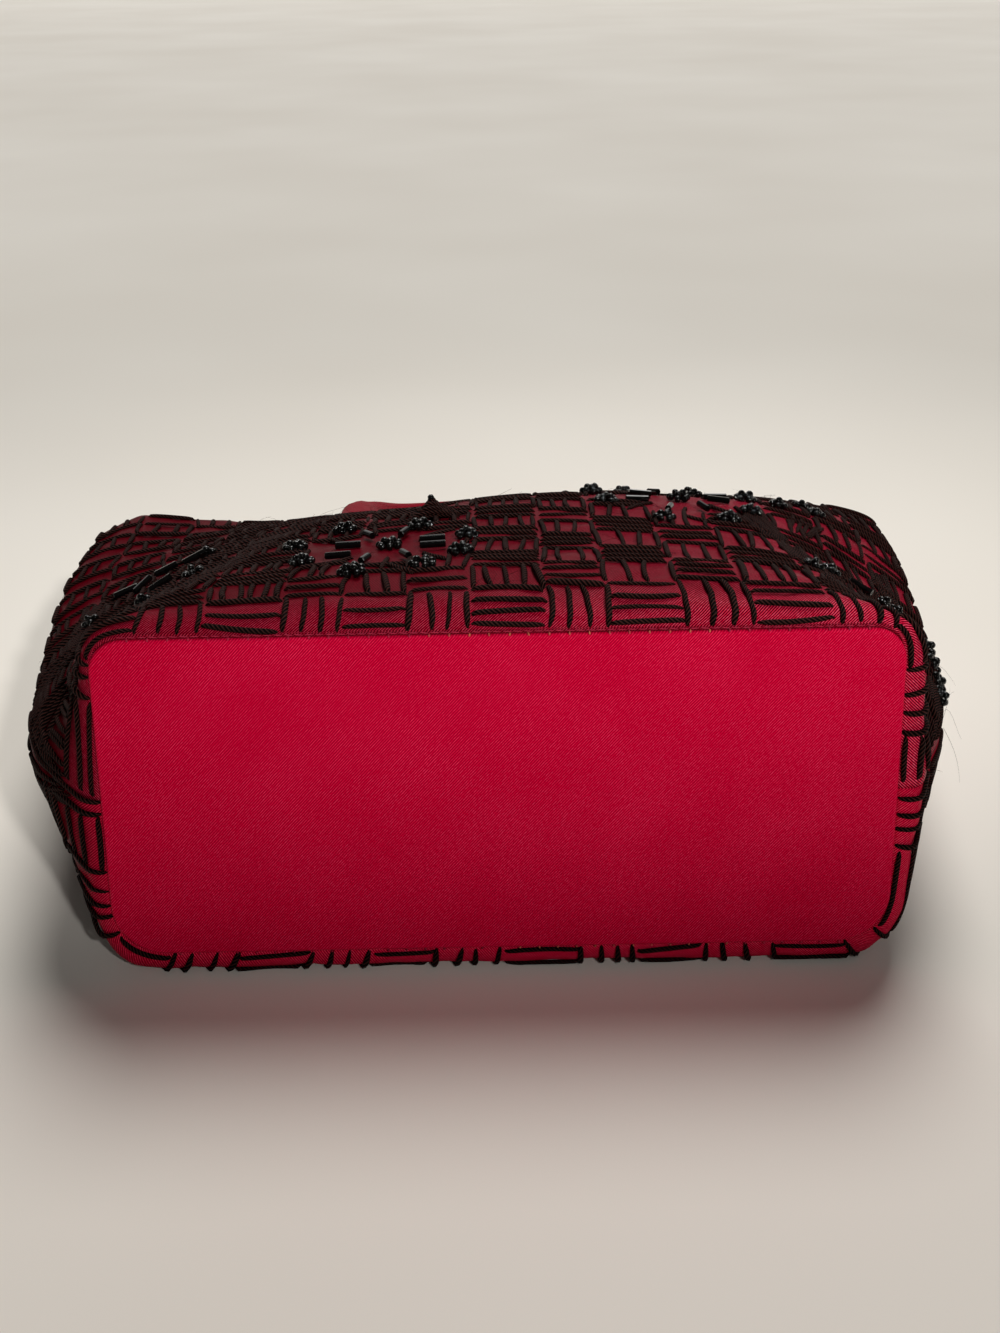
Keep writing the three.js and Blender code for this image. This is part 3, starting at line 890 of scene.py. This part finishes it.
def stitch(side, start, end, thick=STITCH, bow=0.0, raised=0.0):
    """One twisted stitch between two flat places, bowed sideways and raised in its middle by distances."""
    start, end = np.array(start), np.array(end)
    reach = np.linalg.norm(end - start)
    s = np.linspace(0, 1, max(7, round(reach / STITCH_STEP)) + 1)
    across = np.array([start[1] - end[1], end[0] - start[0]]) / reach
    flat = start + np.outer(s, end - start) + np.outer(4 * s * (1 - s) * bow, across)
    points, out = on_panel(side, flat[:, 0], flat[:, 1])
    thin_start, thin_end = rng.uniform(*STITCH_THINNER, 2)
    taper = min(0.3 * reach, STITCH_TAPER)
    radius = thick / 2 * (1 - thin_start * np.clip(1 - s * reach / taper, 0, 1) ** 2
                          - thin_end * np.clip(1 - (1 - s) * reach / taper, 0, 1) ** 2)
    dive = np.clip(1 - np.minimum(s, 1 - s) * reach / STITCH_DIVE, 0, 1) ** 2
    lift = thick * (STITCH_LIFT - STITCH_SINKS * dive) + raised * (1 - np.abs(2 * s - 1) ** 3)
    along = s * reach / TWIST_PITCH + rng.uniform(0, 1)
    return rope(points, out, radius, lift, STITCH_SIDES[side], along, rng.uniform())


print("a stitch is", STITCH / MM, "mm thick and makes a full twist every", TWIST_PITCH / MM, "mm")

# %% [markdown]
# ## The basket stitch
# The whole cloth is covered with squares of long straight stitches. Next to a square of upright stitches
# lies one of level stitches, so the cloth looks like a plaited basket. Every stitch is placed by hand on
# the real bag, so each one here is a little off. A pattern painted on the cloth would have no relief.
# The first row follows the base round its corners, so its squares have widths of their own, and the square
# at the lower left corner keeps only one stitch. The squares are lower on the left of the front than on the
# right. On the slopes beyond the two ridges the stitches lie close together below and further apart above.

# %% Define one square of stitches
STITCH_GAP = 4.1 * MM
SQUARE_WANDER = 0.022
SQUARE_TRIM = (-0.4, 0.6)
SQUARE_TILT = 0.35
SQUARE_BOW = 0.35
SQUARE_THICK = 0.1
LOWEST_LEVEL = 1.2 * MM
FLOWER_REACH = (20 * MM, 19 * MM)
FLOWERS = {"front_middle": ("front", -27.6, 49.3), "front_high": ("front", 53, 103)}


def in_a_flower(side, u, v):
    """Whether a flat place lies in the ground of a flower."""
    for flower_side, fu, fv in FLOWERS.values():
        across = (u - fu * MM) / FLOWER_REACH[0]
        over = (v - fv * MM) / FLOWER_REACH[1]
        if side == flower_side and across ** 2 + over ** 2 < 1:
            return True
    return False


def square(side, left, right, low, high, upright, gap):
    """One square of the basket, as a list of stitches."""
    wide, tall = right - left, high - low
    count = max(2, round((wide if upright else tall) / gap))
    stitches = []
    for share in np.linspace(0.05, 0.95, count):
        share += rng.normal(0, SQUARE_WANDER)
        trim = rng.uniform(*SQUARE_TRIM, 2) * MM
        tilt = rng.normal(0, SQUARE_TILT) * MM
        if upright:
            u = left + wide * share
            foot = max(low + trim[0], 0)
            start, end = (u - tilt, foot), (u + tilt, high - trim[1])
        else:
            v = max(low + tall * share, LOWEST_LEVEL)
            start, end = (left + trim[0], v - tilt), (right - trim[1], v + tilt)
        if in_a_flower(side, (start[0] + end[0]) / 2, (start[1] + end[1]) / 2):
            continue
        thick = STITCH * rng.normal(1, SQUARE_THICK)
        stitches.append(stitch(side, start, end, thick, rng.normal(0, SQUARE_BOW) * MM))
    return stitches


print("squares leave the ground of", len(FLOWERS), "flowers free")

# %% Stitch both panels
FIRST_ROW = {
    "front": (-132, -108, -98, -83, -68.5, -50, -36, -21, -6.6, 11, 25.5, 42.5, 58.5, 77.5, 91.5,
              103.5, 120.5, 132),
    "back": (-141.5, -137.5, -122.5, -103, -86, -68, -50, -34, -17.7, 0, 20, 35, 52, 70, 90, 100,
             124.5, 140),
}
FIRST_SQUARE_IS_UPRIGHT = {"front": False, "back": True}
BARE_CORNER = ("back", 0, 3)
HIGHER_ROWS = (-131.5, -114, -97.5, -82.8, -68.5, -50, -36, -21, -6.6, 11, 25.5, 42.5, 58.5, 77.5, 93.5,
               110, 131)
ROW_EDGES = (-0.2, 16.2, 32.5, 49.5, 66.5, 82, 97, 112, 127, 141, 157, 173, 189, 205, 221, 237, 253)
ROW_SIZES = ((-80, -50, 0, 35, 62, 80), (0.62, 0.66, 0.76, 0.92, 1.13, 0.85))
LOWEST_SQUARE = 5 * MM
RIDGES = ((-87, 0.3), (96, -0.27))
SLOPE_GAPS = {"left": ((45, 80), (2.6, 4.0)), "right": ((40, 85), (3.4, 4.2))}


def on_a_slope(u, v):
    """Whether a flat place lies beyond one of the two ridges."""
    left, right = (start * MM + lean * v for start, lean in RIDGES)
    return u < left or u > right


def basket(side):
    """All squares of a panel, row by row."""
    stretch = flat_width[side] / flat_width["front"]
    rows = np.array(ROW_EDGES) * MM * flat_height[side] / flat_height["front"]
    stitches = []
    for r, (low, high) in enumerate(zip(rows, rows[1:])):
        columns = np.array(HIGHER_ROWS) * MM * stretch if r else np.array(FIRST_ROW[side]) * MM
        for c, (left, right) in enumerate(zip(columns, columns[1:])):
            upright = ((r + c) % 2 == 0) == FIRST_SQUARE_IS_UPRIGHT[side]
            middle = (left + right) / 2
            size = np.interp(middle / MM, *ROW_SIZES) if side == "front" else 1
            foot, head = low * size, min(high * size, flat_height[side] - MM)
            if head - foot < LOWEST_SQUARE:
                continue
            steep = r > 0 and on_a_slope(middle, (foot + head) / 2)
            slope_gap = np.interp(foot / MM, *SLOPE_GAPS["left" if middle < 0 else "right"]) * MM
            gap = slope_gap if steep else STITCH_GAP * size ** 0.5
            sewn = square(side, left, right, foot, head, upright, gap)
            stitches += sewn[:1] if (side, r, c) == BARE_CORNER else sewn
    print(side, "panel has", len(stitches), "stitches")
    return stitches


front_stitches = basket("front")
half = len(front_stitches) // 2 + 1
for number, start in enumerate(range(0, len(front_stitches), half)):
    joined(f"front_stitches_{number + 1}", front_stitches[start:start + half], black_thread)
joined("back_stitches", basket("back"), black_thread)

# %% [markdown]
# ## Bundles
# Where the front turns down to the sides, and along the side seams, bundles of longer stitches lie close
# together like sheaves. They are the same stitch, laid nearly side by side along a line and fanned out a
# little. Behind the middle flower the maker sewed stitch over stitch until they made a small pointed mound.

# %% Lay the bundles
BUNDLES = (
    ("front", (-106, 14), (-84, 19), 11, 8), ("front", (-90, 13), (-74, 38), 12, 8),
    ("front", (-80, 30), (-63, 66), 12, 8), ("front", (-68, 60), (-56, 98), 13, 9),
    ("front", (96, 12), (87, 38), 10, 6), ("front", (88, 34), (78, 70), 12, 7),
    ("front", (79, 66), (70, 98), 12, 8), ("front", (-121, 38), (-112, 82), 12, 9),
    ("front", (-128, 26), (-122, 60), 9, 6),
    ("front", (86, 84), (92, 104), 10, 9), ("front", (116, 30), (108, 60), 9, 7),
    ("front", (120, 60), (112, 98), 10, 8), ("front", (-58, 92), (-34, 110), 10, 8),
    ("front", (-131, 9), (-126, 36), 8, 6), ("back", (-139, 9), (-134, 36), 8, 6),
    ("front", (130, 19), (127, 46), 7, 5), ("back", (138, 17), (135, 46), 7, 5),
)
BUNDLE_STAGGER = 0.3
BUNDLE_FAN = (0.7, 1.1)
BUNDLE_THICK = (0.85, 0.06)
BUNDLE_BOW = 0.6
MOUND = (-17.5, 82)
MOUND_STEPS = ((0.6, 7.5), (1.6, 6.2), (2.6, 4.8), (3.6, 3.4), (4.4, 2.2))
MOUND_WANDER = 0.4
MOUND_BOW = 0.3


def bundle(side, start, end, count, spread):
    """Long stitches close together along a line, fanned at the far end."""
    start, end = np.array(start) * MM, np.array(end) * MM
    across = np.array([start[1] - end[1], end[0] - start[0]]) / np.linalg.norm(end - start)
    stitches = []
    for share in np.linspace(-0.5, 0.5, count):
        aside = across * share * spread * MM
        near = start + (end - start) * rng.uniform(0, BUNDLE_STAGGER) + aside * BUNDLE_FAN[0]
        far = end - (end - start) * rng.uniform(0, BUNDLE_STAGGER) + aside * BUNDLE_FAN[1]
        thick = STITCH * rng.normal(*BUNDLE_THICK)
        stitches.append(stitch(side, near, far, thick, rng.normal(0, BUNDLE_BOW) * MM))
    return stitches


def mound(side, u, v):
    """Stitches heaped over each other, shorter towards the top."""
    stitches = []
    for raised, half in MOUND_STEPS:
        for over in np.linspace(-0.5, 0.5, 4) * half:
            start = np.array([u - half, v + over + rng.normal(0, MOUND_WANDER)]) * MM
            end = np.array([u + half, v + over + rng.normal(0, MOUND_WANDER)]) * MM
            stitches.append(stitch(side, start, end, STITCH, rng.normal(0, MOUND_BOW) * MM, raised * MM))
    return stitches


sheaves = [one for line in BUNDLES for one in bundle(*line)]
joined("bundles", sheaves + mound("front", *MOUND), black_thread)

# %% [markdown]
# ## Beads
# The flowers are made of two kinds of bead: round seed beads about 2 mm across and straight bugles.
# A seed bead is a torus drawn out along its hole. A bugle is a cut tube: a six-sided cylinder, turned to lie
# on a flat side, whose edges are bevelled and whose ends are inset and pushed in for the hole.
# Each is modelled once and copied as arrays, because copied objects would be many hundreds.

# %% Model one seed bead and one bugle
SEED = 2.15 * MM
SEED_RING = 0.27 * SEED
SEED_WALL = 0.23 * SEED
SEED_DRAWN_OUT = 1.65
BUGLE = 2.0 * MM
BUGLE_LENGTH = 7 * MM
BUGLE_SIDES = 6
BUGLE_BEVEL = 0.09 * BUGLE
BUGLE_WALL = 0.2 * BUGLE
HOLE_TAPER = 0.02 * BUGLE
HOLE_DEPTH = 0.5 * BUGLE


def taken(piece):
    """The points and faces of a piece, which is then removed."""
    points = np.array([vertex.co for vertex in piece.data.vertices])
    faces = [list(face.vertices) for face in piece.data.polygons]
    bpy.data.objects.remove(piece)
    return points, faces


bpy.ops.mesh.primitive_torus_add(major_segments=10, minor_segments=7, major_radius=SEED_RING,
                                 minor_radius=SEED_WALL)
seed_bead = bpy.context.object
edit_all(seed_bead, bpy.ops.transform.resize, value=(1, 1, SEED_DRAWN_OUT))
seed_points, seed_faces = taken(seed_bead)

bpy.ops.mesh.primitive_cylinder_add(vertices=BUGLE_SIDES, radius=BUGLE / 2, depth=BUGLE_LENGTH)
bugle_bead = bpy.context.object
edit_all(bugle_bead, bpy.ops.transform.rotate, value=math.pi / BUGLE_SIDES, orient_axis="Z",
         center_override=(0, 0, 0))
edit_all(bugle_bead, bpy.ops.mesh.bevel, affect="EDGES", offset=BUGLE_BEVEL, segments=1)
edit_all(bugle_bead, bpy.ops.mesh.select_all, action="DESELECT")
for face in bugle_bead.data.polygons:
    face.select = abs(face.normal.z) > STRAIGHT
bpy.ops.object.mode_set(mode="EDIT")
bpy.ops.mesh.select_mode(type="FACE")
bpy.ops.mesh.inset(thickness=BUGLE_WALL)
bpy.ops.mesh.inset(thickness=HOLE_TAPER, depth=-HOLE_DEPTH)
bpy.ops.object.mode_set(mode="OBJECT")
bugle_points, bugle_faces = taken(bugle_bead)
print("seed bead:", len(seed_faces), "faces, bugle:", len(bugle_faces), "faces")

# %% [markdown]
# ## Bead flowers
# Each flower has a large heap of seed beads in its middle, four short bugles on the diagonals, a pair of
# long bugles to each side, and eight heaps at the ends of its rays.
# A heap is a ring of beads with one more on top, or three on a large one, and no two beads face the same way.
# Scattering by particles would be quicker to set up, but each bead has its own place on the real bag.

# %% Seat beads on the cloth
def seat(side, u, v, lift):
    """A point over the cloth at a flat place, and the directions across, up and out there."""
    reach = np.array((-0.5, 0.5)) * MM
    across_points, _ = on_panel(side, u + reach, np.array([v, v]))
    points, out = on_panel(side, np.array([u]), np.array([v]))
    across = unit(across_points[1] - across_points[0])
    upward = np.cross(out[0], across)
    place = points[0] + out[0] * lift
    return place, across, upward, out[0]


def bead(side, points, faces, u, v, lift, way, size=1.0):
    """One bead at a flat place, its hole along a direction given in the cloth's own axes."""
    place, across, upward, out = seat(side, u, v, lift)
    axis = unit(across * way[0] + upward * way[1] + out * way[2])
    second = unit(np.cross(axis, out + 0.01 * across))
    third = np.cross(axis, second)
    turned = place + size * (np.outer(points[:, 0], second) + np.outer(points[:, 1], third)
                             + np.outer(points[:, 2], axis))
    turned[:, 2] = np.maximum(turned[:, 2], 0)
    return turned, faces, rng.uniform()


def ring_of_beads(side, u, v, count, lift):
    """Seed beads side by side in a ring, each with its hole more or less along the ring."""
    start = rng.uniform(0, 6)
    radius = SEED * 0.5 / math.sin(math.pi / count) if count > 1 else 0
    beads = []
    for k in range(count):
        angle = start + k / count * 2 * math.pi
        reach = radius * rng.uniform(0.98, 1.12)
        hole = angle + rng.normal(1.5, 0.4)
        way = (math.cos(hole), math.sin(hole), rng.normal(0, 0.4))
        place = (u + reach * math.cos(angle), v + reach * math.sin(angle))
        beads.append(bead(side, seed_points, seed_faces, *place, lift * rng.uniform(0.9, 1.2), way,
                          rng.normal(1, 0.04)))
    return beads


def heap(side, u, v, count):
    """A ring of seed beads with one more on top, or three in a large heap."""
    on_top = 3 if count > 8 else 1
    return (ring_of_beads(side, u, v, count - on_top, 0.5 * SEED)
            + ring_of_beads(side, u, v, on_top, 0.95 * SEED))


def bugle(side, u, v, way, length, lift):
    """One bugle of a share of the full length, lifted by a share of its thickness."""
    return bead(side, bugle_points * (1, 1, length), bugle_faces, u, v, BUGLE * lift, way)


print("a seed bead is", round(SEED / MM, 2), "mm across, a bugle", round(BUGLE_LENGTH / MM, 2), "mm long")

# %% Sew the flowers
HEAPS = ((-13.2, 24), (6.6, 18), (19.9, 5), (18.8, -11), (11, -24), (-6.6, -26.5), (-21, -11.5), (-25.5, 8))
SHORT_BUGLES = ((-6.2, 12), (3.4, 11), (-4.4, -15.5), (5.5, -13.5))
LONG_BUGLES = ((11.2, 2.2), (11.2, -3.4), (-11, 2.6), (-12.6, -8))
MIDDLE_COUNT = 10
HEAP_COUNTS = (9, 10, 10)


def flower(side, u, v):
    """The seed beads and the bugles of one flower."""
    middle = np.array([u, v])
    seeds = heap(side, *(middle * MM), MIDDLE_COUNT)
    bugles = []
    for offset in HEAPS:
        place = (middle + offset + rng.normal(0, 0.5, 2)) * MM
        seeds += heap(side, *place, rng.choice(HEAP_COUNTS))
    for offset in SHORT_BUGLES:
        place = (middle + offset + rng.normal(0, 0.3, 2)) * MM
        bugles.append(bugle(side, *place, (*offset, rng.normal(0, 0.4)), 0.75, 0.7))
    for offset in LONG_BUGLES:
        place = (middle + offset + rng.normal(0, 0.2, 2)) * MM
        bugles.append(bugle(side, *place, (1, rng.normal(0, 0.1), rng.normal(0, 0.05)), 0.95, 0.65))
    return seeds, bugles


all_bugles = []
for name, where in FLOWERS.items():
    seeds, bugles = flower(*where)
    joined("seed_beads_" + name, seeds, jet_bead)
    all_bugles += bugles

# %% [markdown]
# ## Loose beads
# More bugles and heaps lie by themselves on the sides of the front, and one seed bead sits on the mound.
# All bugles are shaded flat, because the cut facets of a bugle catch the light one at a time.

# %% Scatter the loose beads
LONE_BUGLES = ((-92.8, 78, 0.6), (-89.5, 55, 0.3), (-103.5, 71, 0.1), (-98, 69, 0.9), (99, 58, -0.6),
               (-86, 84, 0.4))
LONE_HEAPS = (
    (125.5, 62, 6), (126, 54, 6), (127, 45, 6), (128, 39.5, 6), (82, 47, 6), (88.5, 53, 6), (110, 66, 4),
    (115, 68, 4), (-80, 53, 7), (-113, 62, 5), (-83, 88, 6), (-90, 37, 3), (83, 108, 6), (93, 121, 6),
    (96, 114, 6),
)
TOP_OF_MOUND = 5.4 * MM
TOP_BEAD_WAY = (1, 0.4, 0.3)

for u, v, turn in LONE_BUGLES:
    way = (math.cos(turn), math.sin(turn), rng.normal(0, 0.15))
    all_bugles.append(bugle("front", u * MM, v * MM, way, 1, 0.8))
bugle_beads = joined("bugle_beads", all_bugles, jet_bead)
only(bugle_beads)
bpy.ops.object.shade_flat()

scattered = [one for u, v, count in LONE_HEAPS for one in heap("front", u * MM, v * MM, count)]
top = (MOUND[0] * MM, MOUND[1] * MM, TOP_OF_MOUND)
scattered.append(bead("front", seed_points, seed_faces, *top, TOP_BEAD_WAY))
joined("seed_beads_scattered", scattered, jet_bead)

# %% [markdown]
# ## Stems
# A few loose stitches run between the rays of each flower, where the basket leaves the ground free.

# %% Stitch the stems
STEMS = (
    ((1, -12), (-1, -24)), ((0, -20), (8, -27)), ((7, 4), (17, 13)), ((-7, 4), (-18, 17)),
    ((8, -7), (16, -17)), ((-7, -8), (-17, -18)), ((1, 10), (4, 26)), ((-4, 16), (-5, 28)),
)
STEM = 0.95 * STITCH
stems = []
for side, u, v in FLOWERS.values():
    for stem in STEMS:
        near, far = ((np.array(end) + (u, v) + rng.normal(0, 0.8, 2)) * MM for end in stem)
        stems.append(stitch(side, near, far, STEM, rng.normal(0, 0.8) * MM))
joined("stems", stems, black_thread)

# %% [markdown]
# ## Loose fibres
# The thread is worn, and fine fibres stand off it, which show best against the pale background.
# Each is a thin curling hair that starts on the cloth, and a few places have a wisp of longer ones.
# Hair particles would do it too, but plain tubes export like every other piece.

# %% Let some fibres stand off
FIBRE = 0.1 * MM
FIBRE_LIFT = 0.6 * MM
FIBRE_COUNT = 240
FIBRE_REACH = (2, 6)
WISPS = ((-69, 112), (130, 30), (129, 14))
WISP_EVERY = 10
WISP_LONGER = 1.4
s = np.linspace(0, 1, 8)
fibres = []
for k in range(FIBRE_COUNT):
    u = rng.uniform(-0.49, 0.49) * flat_width["front"]
    v = rng.uniform(0.05, 0.95) * flat_height["front"]
    in_wisp = k % WISP_EVERY == 0
    if in_wisp:
        u, v = (WISPS[k // WISP_EVERY % len(WISPS)] + rng.normal(0, 2, 2)) * MM
    place, across, upward, out = seat("front", u, v, FIBRE_LIFT)
    reach = rng.uniform(*FIBRE_REACH) * MM * (WISP_LONGER if in_wisp else 1)
    lean = across * rng.normal(0, 0.9) + upward * rng.normal(0, 0.9)
    curl = np.cross(out, lean + 0.01 * across)
    rise = out * rng.uniform(0.4, 0.8) + lean
    wave = 0.3 * np.sin(s * rng.uniform(2, 6))
    line = place + reach * (np.outer(s, rise) + np.outer(wave, curl) - np.outer(0.25 * s ** 2, out))
    radius = FIBRE / 2 * (1 - 0.7 * s)
    fibres.append(rope(line, np.tile(out, (len(s), 1)), radius, np.zeros(len(s)), 4, s, 0.5))
joined("loose_fibres", fibres, black_thread)

# %% [markdown]
# ## The table
# The bag lies on a plain pale table. A large grid is enough, since nothing on it has to show but a faint
# waver of its tone and the bag's shadow.

# %% Set the table
TABLE_REACH = 9
TABLE_WAVER = 1 / 3
bpy.ops.mesh.primitive_grid_add(x_subdivisions=12, y_subdivisions=12, size=2 * TABLE_REACH)
floor = bpy.context.object
floor.name = "table"
table_finish = wavering("pale_table", (230, 224, 214), (238, 233, 224), roughness=0.75, shine=0.2,
                        size=TABLE_WAVER)
floor.data.materials.append(table_finish)
print("the table is", 2 * TABLE_REACH, "m wide")

# %% [markdown]
# ## Light
# Most light comes through a window above and behind the bag, and a little from the right, so the left side
# is in shade. A soft beam from the front right, wider than it is high, lifts the right side. A bright wall
# behind the bag is there for the beads to reflect. The window is a sun with a wide angle, because an area
# lamp would light the near and the far side of the table differently.

# %% Light it
WINDOW_WAY = Vector((0.1, 0.66, 1.0))
WINDOW_WIDTH = math.radians(28)
BEAM_FROM = Vector((0.36, -1.0, 0.7))
BEAM_TO = Vector((0.083, -0.13, 0.137))
BEAM_CONE = math.radians(14)
BEAM_SOFTNESS = 0.04
BEAM_WIDER = 2.3
WALL_PLACE = (0, 4.8, 1.45)
WALL_SIZE = (6, 2.7)
ROOM_LIGHT = 0.06


def add_lamp(name, kind, power, colour, way, top="Y", place=(0, 0, 0), **settings):
    """A lamp that shines from a place along a direction."""
    lamp = bpy.data.lights.new(name, kind)
    lamp.energy = power
    lamp.color = colour
    for setting, value in settings.items():
        setattr(lamp, setting, value)
    holder = bpy.data.objects.new(name, lamp)
    holder.location = place
    holder.rotation_euler = way.to_track_quat("-Z", top).to_euler()
    bpy.context.scene.collection.objects.link(holder)
    return holder


add_lamp("window", "SUN", 2.42, (1, 0.99, 0.97), -WINDOW_WAY, angle=WINDOW_WIDTH)
beam = add_lamp("front", "SPOT", 41, (1, 0.98, 0.97), BEAM_TO - BEAM_FROM, place=BEAM_FROM,
                spot_size=BEAM_CONE, spot_blend=1, shadow_soft_size=BEAM_SOFTNESS)
beam.scale = (BEAM_WIDER, 1, 1)
add_lamp("wall", "AREA", 22, (1, 0.985, 0.96), Vector((0, -1, 0)), "Z", WALL_PLACE,
         shape="RECTANGLE", size=WALL_SIZE[0], size_y=WALL_SIZE[1])
world = bpy.data.worlds.new("soft_room")
world.use_nodes = True
world.node_tree.nodes["Background"].inputs["Color"].default_value = (1, 0.97, 0.93, 1)
world.node_tree.nodes["Background"].inputs["Strength"].default_value = ROOM_LIGHT
bpy.context.scene.world = world
bpy.context.scene.view_settings.view_transform = "Standard"
print("lamps:", [lamp.name for lamp in bpy.data.lights])

# %% [markdown]
# ## Camera
# The camera looks down at the base from in front, tilted by less than a degree, as the photographer held it.
# Its place and angles were measured in the photo, so they are given as numbers and not aimed at a point.

# %% Place the camera
CAMERA_PLACE = (-3.13 * MM, -447.57 * MM, 235.7 * MM)
CAMERA_PITCH = math.radians(27.13)
CAMERA_YAW = math.radians(0.754)
CAMERA_ROLL = math.radians(0.63)
PICTURE_HEIGHT = 1333
FOCAL_PIXELS = 1500
camera = bpy.data.cameras.new("camera")
camera.sensor_width = 36
camera.lens = FOCAL_PIXELS / PICTURE_HEIGHT * camera.sensor_width
camera.clip_start = 0.01
holder = bpy.data.objects.new("camera", camera)
ahead = Vector((math.sin(CAMERA_YAW) * math.cos(CAMERA_PITCH),
                math.cos(CAMERA_YAW) * math.cos(CAMERA_PITCH),
                -math.sin(CAMERA_PITCH)))
level = Vector((math.cos(CAMERA_YAW), -math.sin(CAMERA_YAW), 0))
top = level.cross(ahead)
right = level * math.cos(CAMERA_ROLL) - top * math.sin(CAMERA_ROLL)
above = level * math.sin(CAMERA_ROLL) + top * math.cos(CAMERA_ROLL)
turn = Matrix((right, above, -ahead)).transposed()
holder.matrix_world = Matrix.Translation(CAMERA_PLACE) @ turn.to_4x4()
bpy.context.scene.collection.objects.link(holder)
bpy.context.scene.camera = holder
print("lens:", round(camera.lens, 2), "mm")
